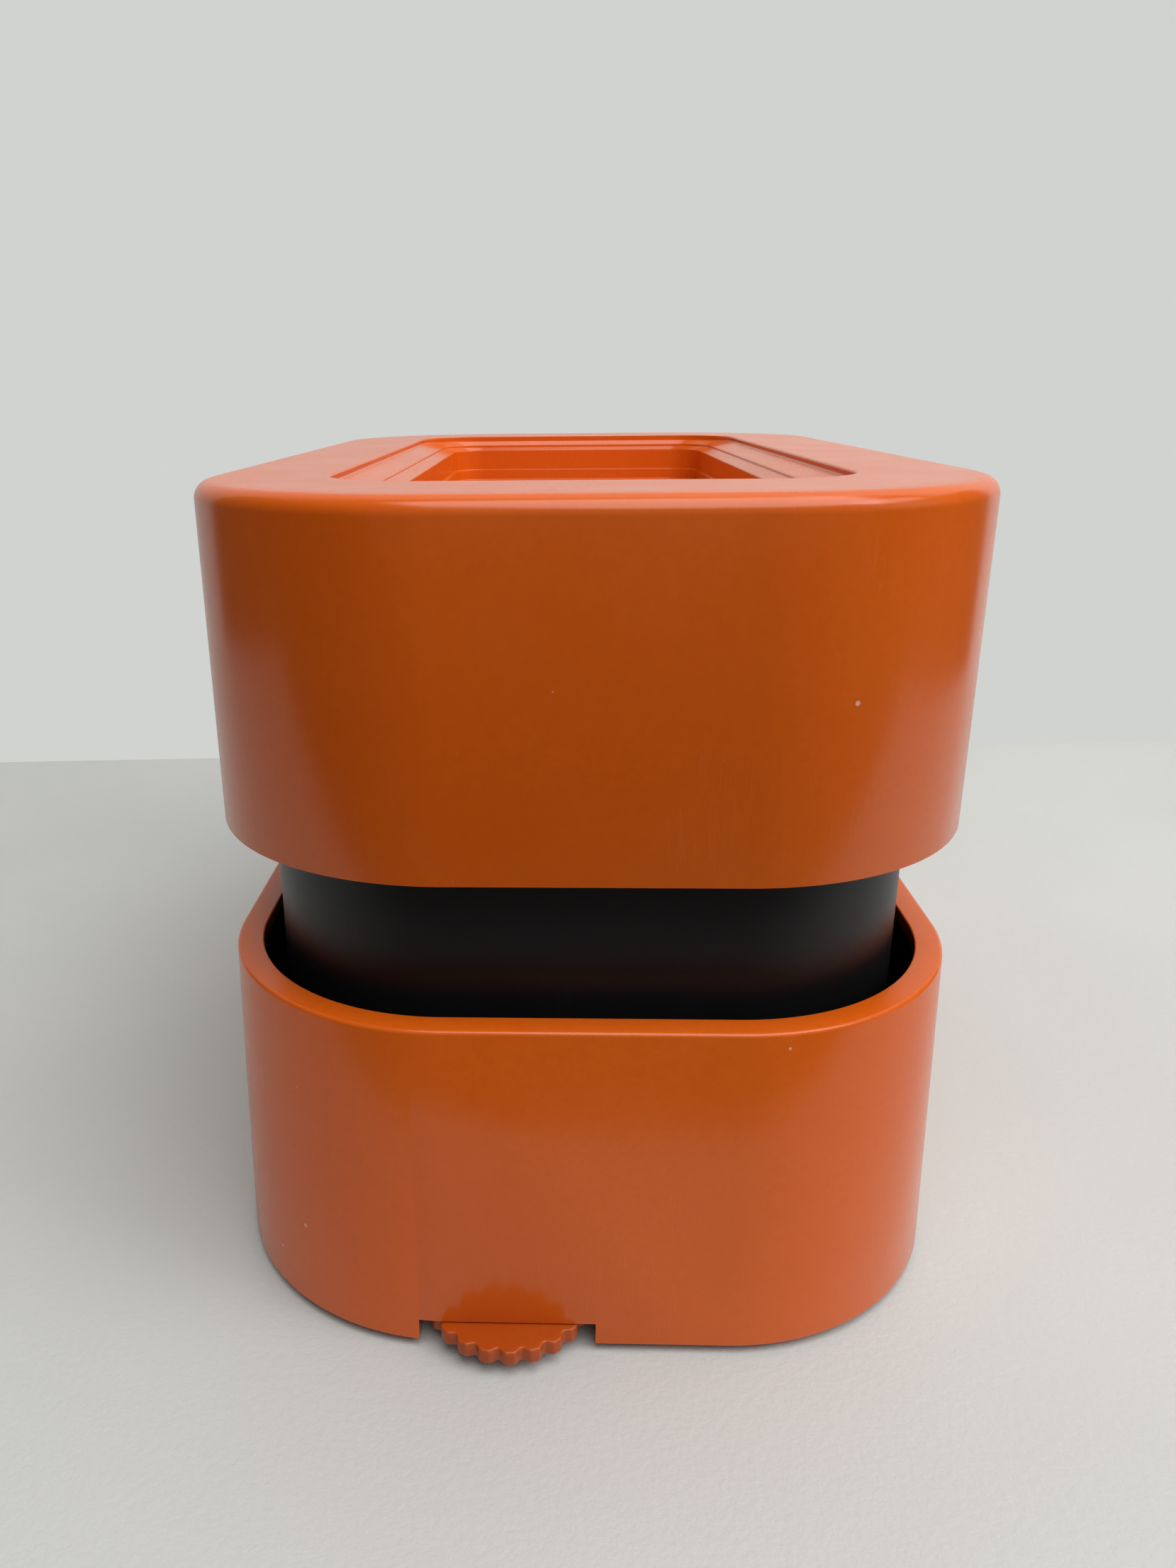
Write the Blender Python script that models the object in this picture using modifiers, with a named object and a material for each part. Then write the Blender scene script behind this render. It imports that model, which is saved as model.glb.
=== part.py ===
"""A 1970s two-shell kitchen scale: an orange base with a zero wheel, a black load carrier that sinks
into it under load, and an orange cover that is also the weighing bowl.

Lengths in this script are millimetres until they reach a mesh. The table is z = 0, +Y runs along the
long side away from the zero wheel's end, and -X is the side with the reading window.
"""

import math

import bmesh
import bpy
from mathutils import Matrix, Vector

MM = 0.001
GAP = 0.3

# Outline of the base at its rim, seen from above, and the heights above the table.
RIM_HALF_X = 50.0
RIM_HALF_Y = 85.15
RIM_CORNER = 31.6
SHELL_FOOT_Z = 1.2
RIM_Z = 47.6
MOUTH_Z = 66.7
TOP_Z = 110.4
FOOT_FLARE = 1.17
RIM_WIDTH = 3.65
RIM_LIP = 2.0
SHELL_WALL = 2.1

# Cover, which is the bowl when it is turned over.
COVER_HALF_X = 50.15
COVER_HALF_Y = 85.3
COVER_CORNER = 32.5
COVER_WALL = 3.0
COVER_CEILING = 2.6
TOP_ROUND = 2.5
RECESS_HALF_X = 33.3
RECESS_HALF_Y = 65.65
RECESS_CORNER = 12.4
RECESS_SKIN = 2.4
RECESS_STEPS = [(0.0, 1.4), (4.3, 2.8), (6.5, 7.1), (7.3, 9.2)]
COVER_LIFT = 80.0

# Load carrier and its travel at full load.
CARRIER_HALF_X = 43.3
CARRIER_HALF_Y = 78.5
CARRIER_CORNER = 25.0
CARRIER_WALL = 2.4
CARRIER_FOOT_Z = 29.0
SHOULDER_Z = 90.5
PLATEAU_CLEARANCE = 0.6
PLATEAU_Z = 98.5
TRAVEL = 14.0

# Zero wheel, under the end that faces -Y.
WHEEL_X = -10.6
WHEEL_Y = -80.0
WHEEL_R = 11.1
WHEEL_LOBES = 21
LOBE_DEPTH = 0.75
LOBE_TURN = 3.0
WHEEL_Z = (2.15, 4.25)
NOTCH_HALF = 11.7
NOTCH_TOP_Z = 4.5
SCREW_PITCH = 0.5
NUT_Z = (9.1, 12.8)

# Bottom plate, and what stands on it.
PLATE_Z = (4.9, 6.9)
DECK_Z = PLATE_Z[1] + GAP
PLATE_SCREW_RADIAL = 27.3
FOOT_AT = (30.0, 54.0)
FOOT_R = 7.0
FOOT_CUP_Z = 2.2

# Guide linkage: two arms hinged on the chassis at one end and on the carrier at the other.
LINK_X = 2.0
FIXED_PIVOT_Y = -20.0
ARM_LENGTH = 60.0
LOWER_PIVOT_Z = 30.0
UPPER_PIVOT_Z = 70.0
ARM_REST_RISE = TRAVEL / 2
CARRIER_PIVOT_Y = FIXED_PIVOT_Y + ARM_LENGTH
BRACKET_Z = (94.2, 95.8)
BRACKET_LEG_Z = 33.0
PIN_R = 2.0
BEARING_R = 2.3
SLOT_REACH = 0.6

# Rack, pinion and dial drum behind the reading window.
DRUM_X = -26.0
DRUM_Z = 24.0
DRUM_R = 13.0
DRUM_HALF = 14.0
GEAR_MODULE = 0.5
PINION_TEETH = 12
RACK_Y = 21.0
RACK_PLAY = 0.12
RACK_TEETH = 12
SHAFT_R = 1.2
DRUM_BRACKET_HALF = 18.4
WINDOW_HALF_Y = 19.0
WINDOW_Z = (14.5, 31.5)
WINDOW_CORNER = 3.0

# Main spring and the zero lever below it.
SPRING_AT = (LINK_X, 12.0)
SPRING_R = 6.4
SPRING_WIRE = 0.8
SPRING_Z = (14.4, 57.6)
SPRING_TURNS = 9
LEVER_Z = (10.2, 11.7)
LEVER_PIVOT_Y = -40.0
LEVER_PIN_R = 1.5
LEVER_BORE_R = 1.8
LEVER_HALF = 3.2

# The bounding box is centred on the origin, so half of the wheel's overhang shifts everything else.
SHELL_FRONT_Y = -(RIM_HALF_Y + FOOT_FLARE)
FRAME_SHIFT_Y = (SHELL_FRONT_Y - (WHEEL_Y - WHEEL_R)) / 2

# Screw holes and bores, and how far the cutters reach past what they cut.
THREAD_R = 1.4
CLEARANCE_R = 1.5
DECK_METAL = 1.0
CHASSIS_METAL = 1.2
PLATE_SCREW_TOP_Z = 12.0
THROUGH_X = (-30.0, 30.0)
THROUGH_Y = (-30.0, 40.0)
THROUGH_DECK_Z = (0.0, 12.0)
THROUGH_ROOF_Z = (90.0, 98.0)
THROUGH_WINDOW_X = (-60.0, -40.0)

CORNER_SEGMENTS = 8

ORANGE = ("orange_abs", (0.52, 0.105, 0.012), 0.32, 0.0)
BLACK = ("black_abs", (0.012, 0.012, 0.013), 0.42, 0.0)
STEEL = ("zinc_steel", (0.55, 0.55, 0.53), 0.38, 1.0)
BRASS = ("brass", (0.62, 0.44, 0.16), 0.35, 1.0)
IVORY = ("ivory_plastic", (0.78, 0.75, 0.66), 0.5, 0.0)
CLEAR = ("clear_acrylic", (0.9, 0.93, 0.95), 0.05, 0.0)
RED = ("red_paint", (0.6, 0.03, 0.02), 0.4, 0.0)
RUBBER = ("grey_rubber", (0.05, 0.05, 0.05), 0.85, 0.0)


def clear_scene():
    for obj in list(bpy.data.objects):
        bpy.data.objects.remove(obj, do_unlink=True)


def collection(name):
    made = bpy.data.collections.new(name)
    bpy.context.scene.collection.children.link(made)
    return made


def material(finish):
    name, colour, roughness, metallic = finish
    made = bpy.data.materials.get(name)
    if made is None:
        made = bpy.data.materials.new(name)
        made.use_nodes = True
        shader = made.node_tree.nodes["Principled BSDF"]
        shader.inputs["Base Color"].default_value = (*colour, 1.0)
        shader.inputs["Roughness"].default_value = roughness
        shader.inputs["Metallic"].default_value = metallic
    return made


def finish_object(name, bm, finish=None):
    """Turns a bmesh in millimetres into a named object: a part if it has a finish, else a cutter."""
    bmesh.ops.scale(bm, vec=(MM, MM, MM), verts=bm.verts)
    bmesh.ops.recalc_face_normals(bm, faces=bm.faces)
    mesh = bpy.data.meshes.new(name)
    bm.to_mesh(mesh)
    bm.free()
    obj = bpy.data.objects.new(name, mesh)
    if finish is None:
        TOOLS.objects.link(obj)
        obj.hide_render = True
        obj.display_type = "WIRE"
    else:
        PARTS.objects.link(obj)
        mesh.materials.append(material(finish))
        mesh.shade_smooth()
        mesh.set_sharp_from_angle(angle=math.radians(30))
    obj.parent = ORIGIN
    return obj


def rounded_outline(half_x, half_y, corner, segments=CORNER_SEGMENTS):
    """Points of a rectangle with round corners, anticlockwise from the +X side."""
    points = []
    for sign_x, sign_y, start in ((1, 1, 0), (-1, 1, 90), (-1, -1, 180), (1, -1, 270)):
        for step in range(segments + 1):
            angle = math.radians(start + 90 * step / segments)
            x = sign_x * (half_x - corner) + corner * math.cos(angle)
            y = sign_y * (half_y - corner) + corner * math.sin(angle)
            points.append((x, y))
    return points


def loft(name, sections, finish=None, closed=False):
    """Skins a run of round-cornered rectangles (half_x, half_y, corner, z). The run ends in flat caps,
    or meets its own start when it is closed, which makes a ring."""
    bm = bmesh.new()
    loops = []
    for half_x, half_y, corner, z in sections:
        outline = rounded_outline(half_x, half_y, corner)
        loops.append([bm.verts.new((x, y, z)) for x, y in outline])
    pairs = list(zip(loops, loops[1:]))
    if closed:
        pairs.append((loops[-1], loops[0]))
    for low, high in pairs:
        count = len(low)
        for i in range(count):
            j = (i + 1) % count
            bm.faces.new((low[i], low[j], high[j], high[i]))
    if not closed:
        bm.faces.new(loops[0])
        bm.faces.new(loops[-1])
    return finish_object(name, bm, finish)


def inset(outline, amount, z):
    """A section moved in by amount from (half_x, half_y, corner), at height z."""
    half_x, half_y, corner = outline
    return (half_x - amount, half_y - amount, max(corner - amount, 0.5), z)


def box(name, x, y, z, finish=None):
    """A block from three (low, high) ranges."""
    bm = bmesh.new()
    bmesh.ops.create_cube(bm, size=1.0)
    size = [high - low for low, high in (x, y, z)]
    middle = [(high + low) / 2 for low, high in (x, y, z)]
    bmesh.ops.scale(bm, vec=size, verts=bm.verts)
    bmesh.ops.translate(bm, vec=middle, verts=bm.verts)
    return finish_object(name, bm, finish)


TURN_TO = {
    "X": Matrix.Rotation(math.radians(90), 3, "Y"),
    "Y": Matrix.Rotation(math.radians(-90), 3, "X"),
    "Z": Matrix.Identity(3),
}


def rod(name, radius, centre, span, axis="Z", finish=None, sides=20):
    """A cylinder along an axis: centre gives the two other coordinates, span its ends."""
    bm = bmesh.new()
    low, high = span
    bmesh.ops.create_cone(
        bm, cap_ends=True, segments=sides, radius1=radius, radius2=radius, depth=high - low
    )
    bmesh.ops.rotate(bm, matrix=TURN_TO[axis], verts=bm.verts, cent=(0, 0, 0))
    bmesh.ops.translate(bm, vec=on_axis(axis, centre, (low + high) / 2), verts=bm.verts)
    return finish_object(name, bm, finish)


def on_axis(axis, centre, along):
    first, second = centre
    return {
        "X": Vector((along, first, second)),
        "Y": Vector((first, along, second)),
        "Z": Vector((first, second, along)),
    }[axis]


def prism(name, outline, span, axis="Z", finish=None):
    """A flat outline extruded along an axis. Its points are the two other coordinates, in order."""
    bm = bmesh.new()
    low, high = span
    base = bm.faces.new([bm.verts.new(on_axis(axis, point, low)) for point in outline])
    grown = bmesh.ops.extrude_face_region(bm, geom=[base])
    raised = [v for v in grown["geom"] if isinstance(v, bmesh.types.BMVert)]
    bmesh.ops.translate(bm, vec=on_axis(axis, (0, 0), high - low), verts=raised)
    return finish_object(name, bm, finish)


def boolean(target, other, operation):
    modifier = target.modifiers.new(operation.lower(), "BOOLEAN")
    modifier.operation = operation
    modifier.object = other
    return target


def cut(target, *others):
    for other in others:
        boolean(target, other, "DIFFERENCE")
    return target


def join(target, *others):
    for other in others:
        boolean(target, other, "UNION")
    return target


def turned(name, centre, profile, finish=None, sides=20):
    """A profile of (radius, z), closed onto its vertical axis and turned about it by a Screw modifier."""
    bm = bmesh.new()
    if profile[0][1] < profile[-1][1]:
        profile = profile[::-1]
    closed = [(0.0, profile[0][1]), *profile, (0.0, profile[-1][1])]
    verts = [bm.verts.new((radius, 0.0, z)) for radius, z in closed]
    for first, second in zip(verts, verts[1:]):
        bm.edges.new((first, second))
    obj = finish_object(name, bm, finish)
    obj.location = (centre[0] * MM, centre[1] * MM, 0.0)
    spin = obj.modifiers.new("turn", "SCREW")
    spin.steps = sides
    spin.render_steps = sides
    spin.use_merge_vertices = True
    spin.merge_threshold = 0.00001
    return obj


def screw(name, centre, head_z, head_height, tip_z, head_r=2.8, shank_r=1.1):
    """A pan-head screw. head_z is the bearing face of its head, and tip_z the end of its shank."""
    outer = head_z + math.copysign(head_height, head_z - tip_z)
    crown = outer - math.copysign(0.4, outer - head_z)
    profile = [
        (head_r * 0.7, outer),
        (head_r, crown),
        (head_r, head_z),
        (shank_r, head_z),
        (shank_r, tip_z),
    ]
    return turned(name, centre, profile, STEEL, sides=12)


# --- Base: shell, liner, bottom plate, feet, window ---


def rim_outline():
    return (RIM_HALF_X, RIM_HALF_Y, RIM_CORNER)


def flare_at(z):
    """How far the base's drafted wall stands outside the rim at height z."""
    return FOOT_FLARE * (RIM_Z - z) / (RIM_Z - SHELL_FOOT_Z)


def plate_screw_places():
    reach = PLATE_SCREW_RADIAL * math.sqrt(0.5)
    x = RIM_HALF_X - RIM_CORNER + reach
    y = RIM_HALF_Y - RIM_CORNER + reach
    return [(x, y), (-x, y), (-x, -y), (x, -y)]


def base_shell():
    rim = rim_outline()
    lip_z = RIM_Z - RIM_LIP
    edge = 0.6
    post_r = 3.8
    sections = [
        inset(rim, SHELL_WALL - FOOT_FLARE, SHELL_FOOT_Z),
        inset(rim, -FOOT_FLARE, SHELL_FOOT_Z),
        inset(rim, -flare_at(RIM_Z - edge), RIM_Z - edge),
        inset(rim, 0.3 * edge, RIM_Z - 0.3 * edge),
        inset(rim, edge, RIM_Z),
        inset(rim, RIM_WIDTH, RIM_Z),
        inset(rim, RIM_WIDTH, lip_z),
        inset(rim, SHELL_WALL, lip_z),
    ]
    shell = loft("base_shell", sections, ORANGE, closed=True)
    for index, place in enumerate(plate_screw_places()):
        post = rod(f"screw_post_{index}", post_r, place, (DECK_Z, PLATE_SCREW_TOP_Z + 0.5))
        hole = rod(f"screw_post_hole_{index}", THREAD_R, place, (DECK_Z - 1, PLATE_SCREW_TOP_Z))
        join(shell, post)
        cut(shell, hole)
    notch_x = (WHEEL_X - NOTCH_HALF, WHEEL_X + NOTCH_HALF)
    notch = box("wheel_notch", notch_x, (WHEEL_Y - 15, WHEEL_Y + 5), (-5, NOTCH_TOP_Z))
    window = window_block("window_cut", WINDOW_HALF_Y, WINDOW_Z, WINDOW_CORNER, THROUGH_WINDOW_X)
    return cut(shell, notch, window)


def window_block(name, half_y, z_range, corner, x_range, finish=None):
    """A round-cornered block through the window side."""
    low, high = z_range
    middle = (low + high) / 2
    outline = rounded_outline(half_y, (high - low) / 2, corner, segments=4)
    return prism(name, [(y, middle + z) for y, z in outline], x_range, "X", finish)


def inner_liner():
    rim = rim_outline()
    low, high = 15.2, RIM_Z - RIM_LIP - GAP
    outer = SHELL_WALL + GAP
    sections = [
        inset(rim, RIM_WIDTH, low),
        inset(rim, outer, low),
        inset(rim, outer, high),
        inset(rim, RIM_WIDTH, high),
    ]
    liner = loft("inner_liner", sections, BLACK, closed=True)
    half_y, z_range = WINDOW_HALF_Y + 1.5, (WINDOW_Z[0] - 5, 33.0)
    window = window_block("liner_window", half_y, z_range, WINDOW_CORNER, THROUGH_WINDOW_X)
    return cut(liner, window)


def bottom_plate():
    edge = SHELL_WALL + 0.35 - flare_at(PLATE_Z[1])
    rim = rim_outline()
    plate = loft("bottom_plate", [inset(rim, edge, PLATE_Z[0]), inset(rim, edge, PLATE_Z[1])], BLACK)
    for index, (x, y) in enumerate(foot_places()):
        cup = rod(f"foot_cup_{index}", FOOT_R + 2.0, (x, y), (FOOT_CUP_Z, PLATE_Z[0] + 0.5), sides=24)
        well = rod(f"foot_well_{index}", FOOT_R + GAP, (x, y), (0, PLATE_Z[0]), sides=24)
        join(plate, cup)
        cut(plate, well)
    for index, place in enumerate(plate_screw_places() + deck_screw_places()):
        cut(plate, rod(f"plate_hole_{index}", CLEARANCE_R, place, THROUGH_DECK_Z, sides=12))
    slot_half = 2.9
    slot_x = (WHEEL_X - slot_half, WHEEL_X + slot_half)
    slot = box("wheel_slot", slot_x, (WHEEL_Y - 15, WHEEL_Y), THROUGH_DECK_Z)
    slot_end = rod("wheel_slot_end", slot_half, (WHEEL_X, WHEEL_Y), THROUGH_DECK_Z)
    return cut(plate, slot, slot_end)


def foot_places():
    x, y = FOOT_AT
    return [(-x, -y), (x, -y), (-x, y), (x, y)]


def feet():
    for index, (x, y) in enumerate(foot_places()):
        profile = [(FOOT_R - 0.8, 0), (FOOT_R, 0.8), (FOOT_R, PLATE_Z[0] - GAP)]
        turned(f"rubber_foot_{index + 1}", (x, y), profile, RUBBER, sides=24)


def plate_screws():
    for index, place in enumerate(plate_screw_places()):
        screw(f"plate_screw_{index + 1}", place, PLATE_Z[0] - GAP, 1.6, PLATE_SCREW_TOP_Z - 0.5)


def window_parts():
    """A bezel in the window, and in the bezel a bar lens whose bulge runs along Y."""
    low, high = WINDOW_Z
    depth_x = (-51.1, -46.4)
    corner = WINDOW_CORNER - GAP
    bezel_z = (low + GAP, high - GAP)
    bezel = window_block("window_bezel", WINDOW_HALF_Y - GAP, bezel_z, corner, depth_x, BLACK)
    border = 2.4
    opening_z = (low + border, high - border)
    half = WINDOW_HALF_Y - border
    cut(bezel, window_block("bezel_opening", half, opening_z, 0.3, THROUGH_WINDOW_X))
    edge = border + GAP
    lens_low, lens_high = low + edge, high - edge
    bulge, face_x, back_x = 1.4, -49.6, -47.0
    middle, reach = (lens_low + lens_high) / 2, (lens_high - lens_low) / 2
    arc = []
    arc_steps = 8
    for step in range(arc_steps + 1):
        part = -1 + 2 * step / arc_steps
        arc.append((face_x - bulge * (1 - part * part), middle + part * reach))
    outline = [*arc, (back_x, lens_high), (back_x, lens_low)]
    half = WINDOW_HALF_Y - edge
    prism_along_y("magnifier_lens", outline, (-half, half), CLEAR)


def prism_along_y(name, outline_xz, span, finish=None):
    return prism(name, outline_xz, span, "Y", finish)


# --- Chassis, guide linkage and carrier ---


def arm_tilt():
    return math.asin(ARM_REST_RISE / ARM_LENGTH)


def chassis_frame():
    """A floor with two upright cheeks, whose tops taper to the upper pivot, and a brace between them."""
    near, far = FIXED_PIVOT_Y - 10, FIXED_PIVOT_Y + 10
    left, right = LINK_X - 14.0, LINK_X + 14.0
    thick = 1.6
    taper_z, top_z = UPPER_PIVOT_Z - 10, UPPER_PIVOT_Z + 6
    base = box("chassis_frame", (left, right), (near, far), (DECK_Z, DECK_Z + CHASSIS_METAL), STEEL)
    outline = [
        (near, DECK_Z),
        (far, DECK_Z),
        (far, taper_z),
        (far - 5, top_z),
        (near + 5, top_z),
        (near, taper_z),
    ]
    for name, x in (("left_cheek", (left, left + thick)), ("right_cheek", (right - thick, right))):
        join(base, prism(name, outline, x, "X"))
    brace_x = (left + 0.5, right - 0.5)
    brace = box("cheek_brace", brace_x, (near + 0.5, near + 2.0), (48.0, taper_z - 2))
    join(base, brace)
    for z in (LOWER_PIVOT_Z, UPPER_PIVOT_Z):
        cut(base, rod(f"chassis_bearing_{z:.0f}", BEARING_R, (FIXED_PIVOT_Y, z), THROUGH_X, "X"))
    for index, place in enumerate(chassis_screw_places()):
        cut(base, rod(f"chassis_hole_{index}", CLEARANCE_R, place, THROUGH_DECK_Z, sides=12))
    return base


def chassis_screw_places():
    return [(9.5, -26.5), (9.5, -13.5)]


def drum_screw_places():
    return [(DRUM_X, -13.5), (DRUM_X, 13.5)]


def lever_screw_places():
    return [(-15.0, -47.5), (5.0, -47.5)]


def deck_screw_places():
    return chassis_screw_places() + drum_screw_places() + lever_screw_places()


def deck_screws():
    for index, place in enumerate(deck_screw_places()):
        thickness = CHASSIS_METAL if place in chassis_screw_places() else DECK_METAL
        screw(f"deck_screw_{index + 1}", place, DECK_Z + thickness + GAP, 1.3, 5.2, 2.4)


def guide_arm(name, pivot_z):
    """A frame of two bars and two webs, tilted to its rest angle about the chassis pivot."""
    outer, thick, half_height = 10.0, 2.0, 3.0
    left = (LINK_X - outer, LINK_X - outer + thick)
    right = (LINK_X + outer - thick, LINK_X + outer)
    length = (-4.5, ARM_LENGTH + 5.0)
    outline = []
    for centre, start in ((length[1] - half_height, -90), (length[0] + half_height, 90)):
        for step in range(7):
            angle = math.radians(start + 30 * step)
            outline.append((centre + half_height * math.cos(angle), half_height * math.sin(angle)))
    arm = prism(name, outline, left, "X", STEEL)
    join(arm, prism(f"{name}_right_bar", outline, right, "X"))
    for index, y in enumerate(((12.0, 20.0), (44.0, 51.0))):
        web = box(f"{name}_web_{index}", (left[0] + 0.5, right[1] - 0.5), y, (-0.8, 0.8))
        join(arm, web)
    bearing = rod(f"{name}_bearing", BEARING_R, (0, 0), THROUGH_X, "X")
    slot = []
    for end, angle in slot_angles():
        y = ARM_LENGTH + SLOT_REACH * end + BEARING_R * math.cos(angle)
        slot.append((y, BEARING_R * math.sin(angle)))
    cut(arm, bearing, prism(f"{name}_slot", slot, THROUGH_X, "X"))
    place = Matrix.Translation(Vector((0, FIXED_PIVOT_Y, pivot_z)) * MM)
    place @= Matrix.Rotation(arm_tilt(), 4, "X")
    for obj in [arm] + [m.object for m in arm.modifiers]:
        obj.matrix_local = place
    return arm


def slot_angles():
    """(end, angle) round a slot along Y: +1 is its far end."""
    return [(1, math.radians(-90 + 22.5 * i)) for i in range(9)] + [
        (-1, math.radians(90 + 22.5 * i)) for i in range(9)
    ]


def carrier_pin_z(pivot_z):
    return pivot_z + ARM_REST_RISE


def rivet_pin(name, y, z, reach):
    """A pin across the linkage whose ends are spread over whatever it holds."""
    pin = rod(name, PIN_R, (y, z), (LINK_X - reach, LINK_X + reach), "X", STEEL, sides=16)
    for side in (-1, 1):
        x = sorted((LINK_X + side * (reach - 0.9), LINK_X + side * (reach + 0.4)))
        join(pin, rod(f"{name}_head_{side}", 3.2, (y, z), x, "X", sides=16))


def pins():
    for name, z in (("lower", LOWER_PIVOT_Z), ("upper", UPPER_PIVOT_Z)):
        rivet_pin(f"{name}_fixed_pin", FIXED_PIVOT_Y, z, 15.3)
        rivet_pin(f"{name}_carrier_pin", CARRIER_PIVOT_Y, carrier_pin_z(z), 11.3)


def carrier_bracket():
    """A plate under the carrier's roof, two legs down to the guide arms, and a shelf on the spring."""
    pin_y = CARRIER_PIVOT_Y
    bracket = box("carrier_bracket", (LINK_X - 10, LINK_X + 10), (pin_y - 8, pin_y + 8), BRACKET_Z, STEEL)
    for side in (-1, 1):
        x = sorted((LINK_X + side * 4.6, LINK_X + side * 6.2))
        leg = box(f"bracket_leg_{side}", x, (pin_y - 4, pin_y + 4), (BRACKET_LEG_Z, BRACKET_Z[0] + 0.5))
        join(bracket, leg)
    shelf_z = (SPRING_Z[1] + GAP, SPRING_Z[1] + GAP + 1.6)
    shelf_x = (LINK_X - 6.2, LINK_X + 6.2)
    shelf = box("bracket_shelf", shelf_x, (SPRING_AT[1] - 7, pin_y + 3.5), shelf_z)
    boss = rod("shelf_boss", SPRING_R - SPRING_WIRE - GAP, SPRING_AT, (shelf_z[0] - 3, shelf_z[0] + 0.5))
    join(bracket, shelf, boss)
    for z in (LOWER_PIVOT_Z, UPPER_PIVOT_Z):
        hole = rod(f"bracket_bearing_{z:.0f}", BEARING_R, (pin_y, carrier_pin_z(z)), THROUGH_X, "X")
        cut(bracket, hole)
    for index, place in enumerate(bracket_screw_places()):
        cut(bracket, rod(f"bracket_hole_{index}", CLEARANCE_R, place, THROUGH_ROOF_Z, sides=12))
    return bracket


def bracket_screw_places():
    return [(LINK_X, CARRIER_PIVOT_Y - 5.5), (LINK_X, CARRIER_PIVOT_Y + 5.5)]


def rack_screw_places():
    return [(-15.5, RACK_Y)]


def carrier_screws():
    for index, place in enumerate(bracket_screw_places() + rack_screw_places()):
        screw(f"carrier_screw_{index + 1}", place, BRACKET_Z[0] - GAP, 1.3, PLATEAU_Z - 0.9, 2.4)


def load_carrier():
    body = (CARRIER_HALF_X, CARRIER_HALF_Y, CARRIER_CORNER)
    recess = (RECESS_HALF_X, RECESS_HALF_Y, RECESS_CORNER)
    edge = 1.2
    outside = [
        inset(body, 0.0, CARRIER_FOOT_Z),
        inset(body, 0.0, SHOULDER_Z - edge),
        inset(body, 0.3 * edge, SHOULDER_Z - 0.3 * edge),
        inset(body, edge, SHOULDER_Z),
    ]
    inside = [
        inset(body, CARRIER_WALL, CARRIER_FOOT_Z),
        inset(body, CARRIER_WALL, SHOULDER_Z - CARRIER_WALL),
    ]
    height = 0.0
    for index, (step_in, depth) in enumerate(RECESS_STEPS):
        last = index == len(RECESS_STEPS) - 1
        new_height = PLATEAU_Z - SHOULDER_Z if last else depth - GAP
        side = step_in + PLATEAU_CLEARANCE
        for h in (height, new_height):
            outside.append(inset(recess, side, SHOULDER_Z + h))
            inside.append(inset(recess, side + CARRIER_WALL, SHOULDER_Z + h - CARRIER_WALL))
        height = new_height
    carrier = loft("load_carrier", inside[::-1] + outside, BLACK)
    notch = box("drum_notch", (-50, -38), (-22, 22), (20, 46.0))
    cut(carrier, notch)
    for index, place in enumerate(bracket_screw_places() + rack_screw_places()):
        cut(carrier, rod(f"carrier_hole_{index}", THREAD_R, place, (95, PLATEAU_Z - 0.6), sides=12))
    return carrier


def overload_stops():
    """Rubber blocks that the bracket's two legs land on at full travel."""
    top = BRACKET_LEG_Z - TRAVEL - GAP
    for index, side in enumerate((-1, 1)):
        place = (LINK_X + side * 5.4, CARRIER_PIVOT_Y)
        profile = [(4.2, DECK_Z), (4.2, 12.0), (3.4, top)]
        turned(f"overload_stop_{index + 1}", place, profile, RUBBER, 16)


# --- Rack, pinion, drum ---


def pinion_outline():
    """Involute teeth, thinned for running play, about the origin. Points are (x, z)."""
    pitch_r = GEAR_MODULE * PINION_TEETH / 2
    base_r = pitch_r * math.cos(math.radians(20))
    root_r = pitch_r - 1.25 * GEAR_MODULE
    tip_r = pitch_r + 0.9 * GEAR_MODULE
    thinning = 0.045
    half_tooth = math.pi / (2 * PINION_TEETH) - thinning
    at_pitch = math.acos(base_r / pitch_r)
    pitch_involute = math.tan(at_pitch) - at_pitch
    points = []
    for tooth in range(PINION_TEETH):
        middle = 2 * math.pi * (tooth + 0.5) / PINION_TEETH
        flank = [(root_r, half_tooth + pitch_involute)]
        for step in range(4):
            radius = base_r + (tip_r - base_r) * step / 3
            turn = math.acos(min(1.0, base_r / radius))
            flank.append((radius, half_tooth + pitch_involute - (math.tan(turn) - turn)))
        for radius, half in flank:
            points.append((radius, middle - half))
        for radius, half in reversed(flank):
            points.append((radius, middle + half))
    return [(r * math.cos(a), r * math.sin(a)) for r, a in points]


def pinion():
    outline = [(DRUM_X + x, DRUM_Z + z) for x, z in pinion_outline()]
    gear = prism_along_y("pinion", outline, (RACK_Y - 1.9, RACK_Y + 1.9), BRASS)
    bore = rod("pinion_bore", SHAFT_R + GAP, (DRUM_X, DRUM_Z), THROUGH_Y, "Y", sides=16)
    return cut(gear, bore)


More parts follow.
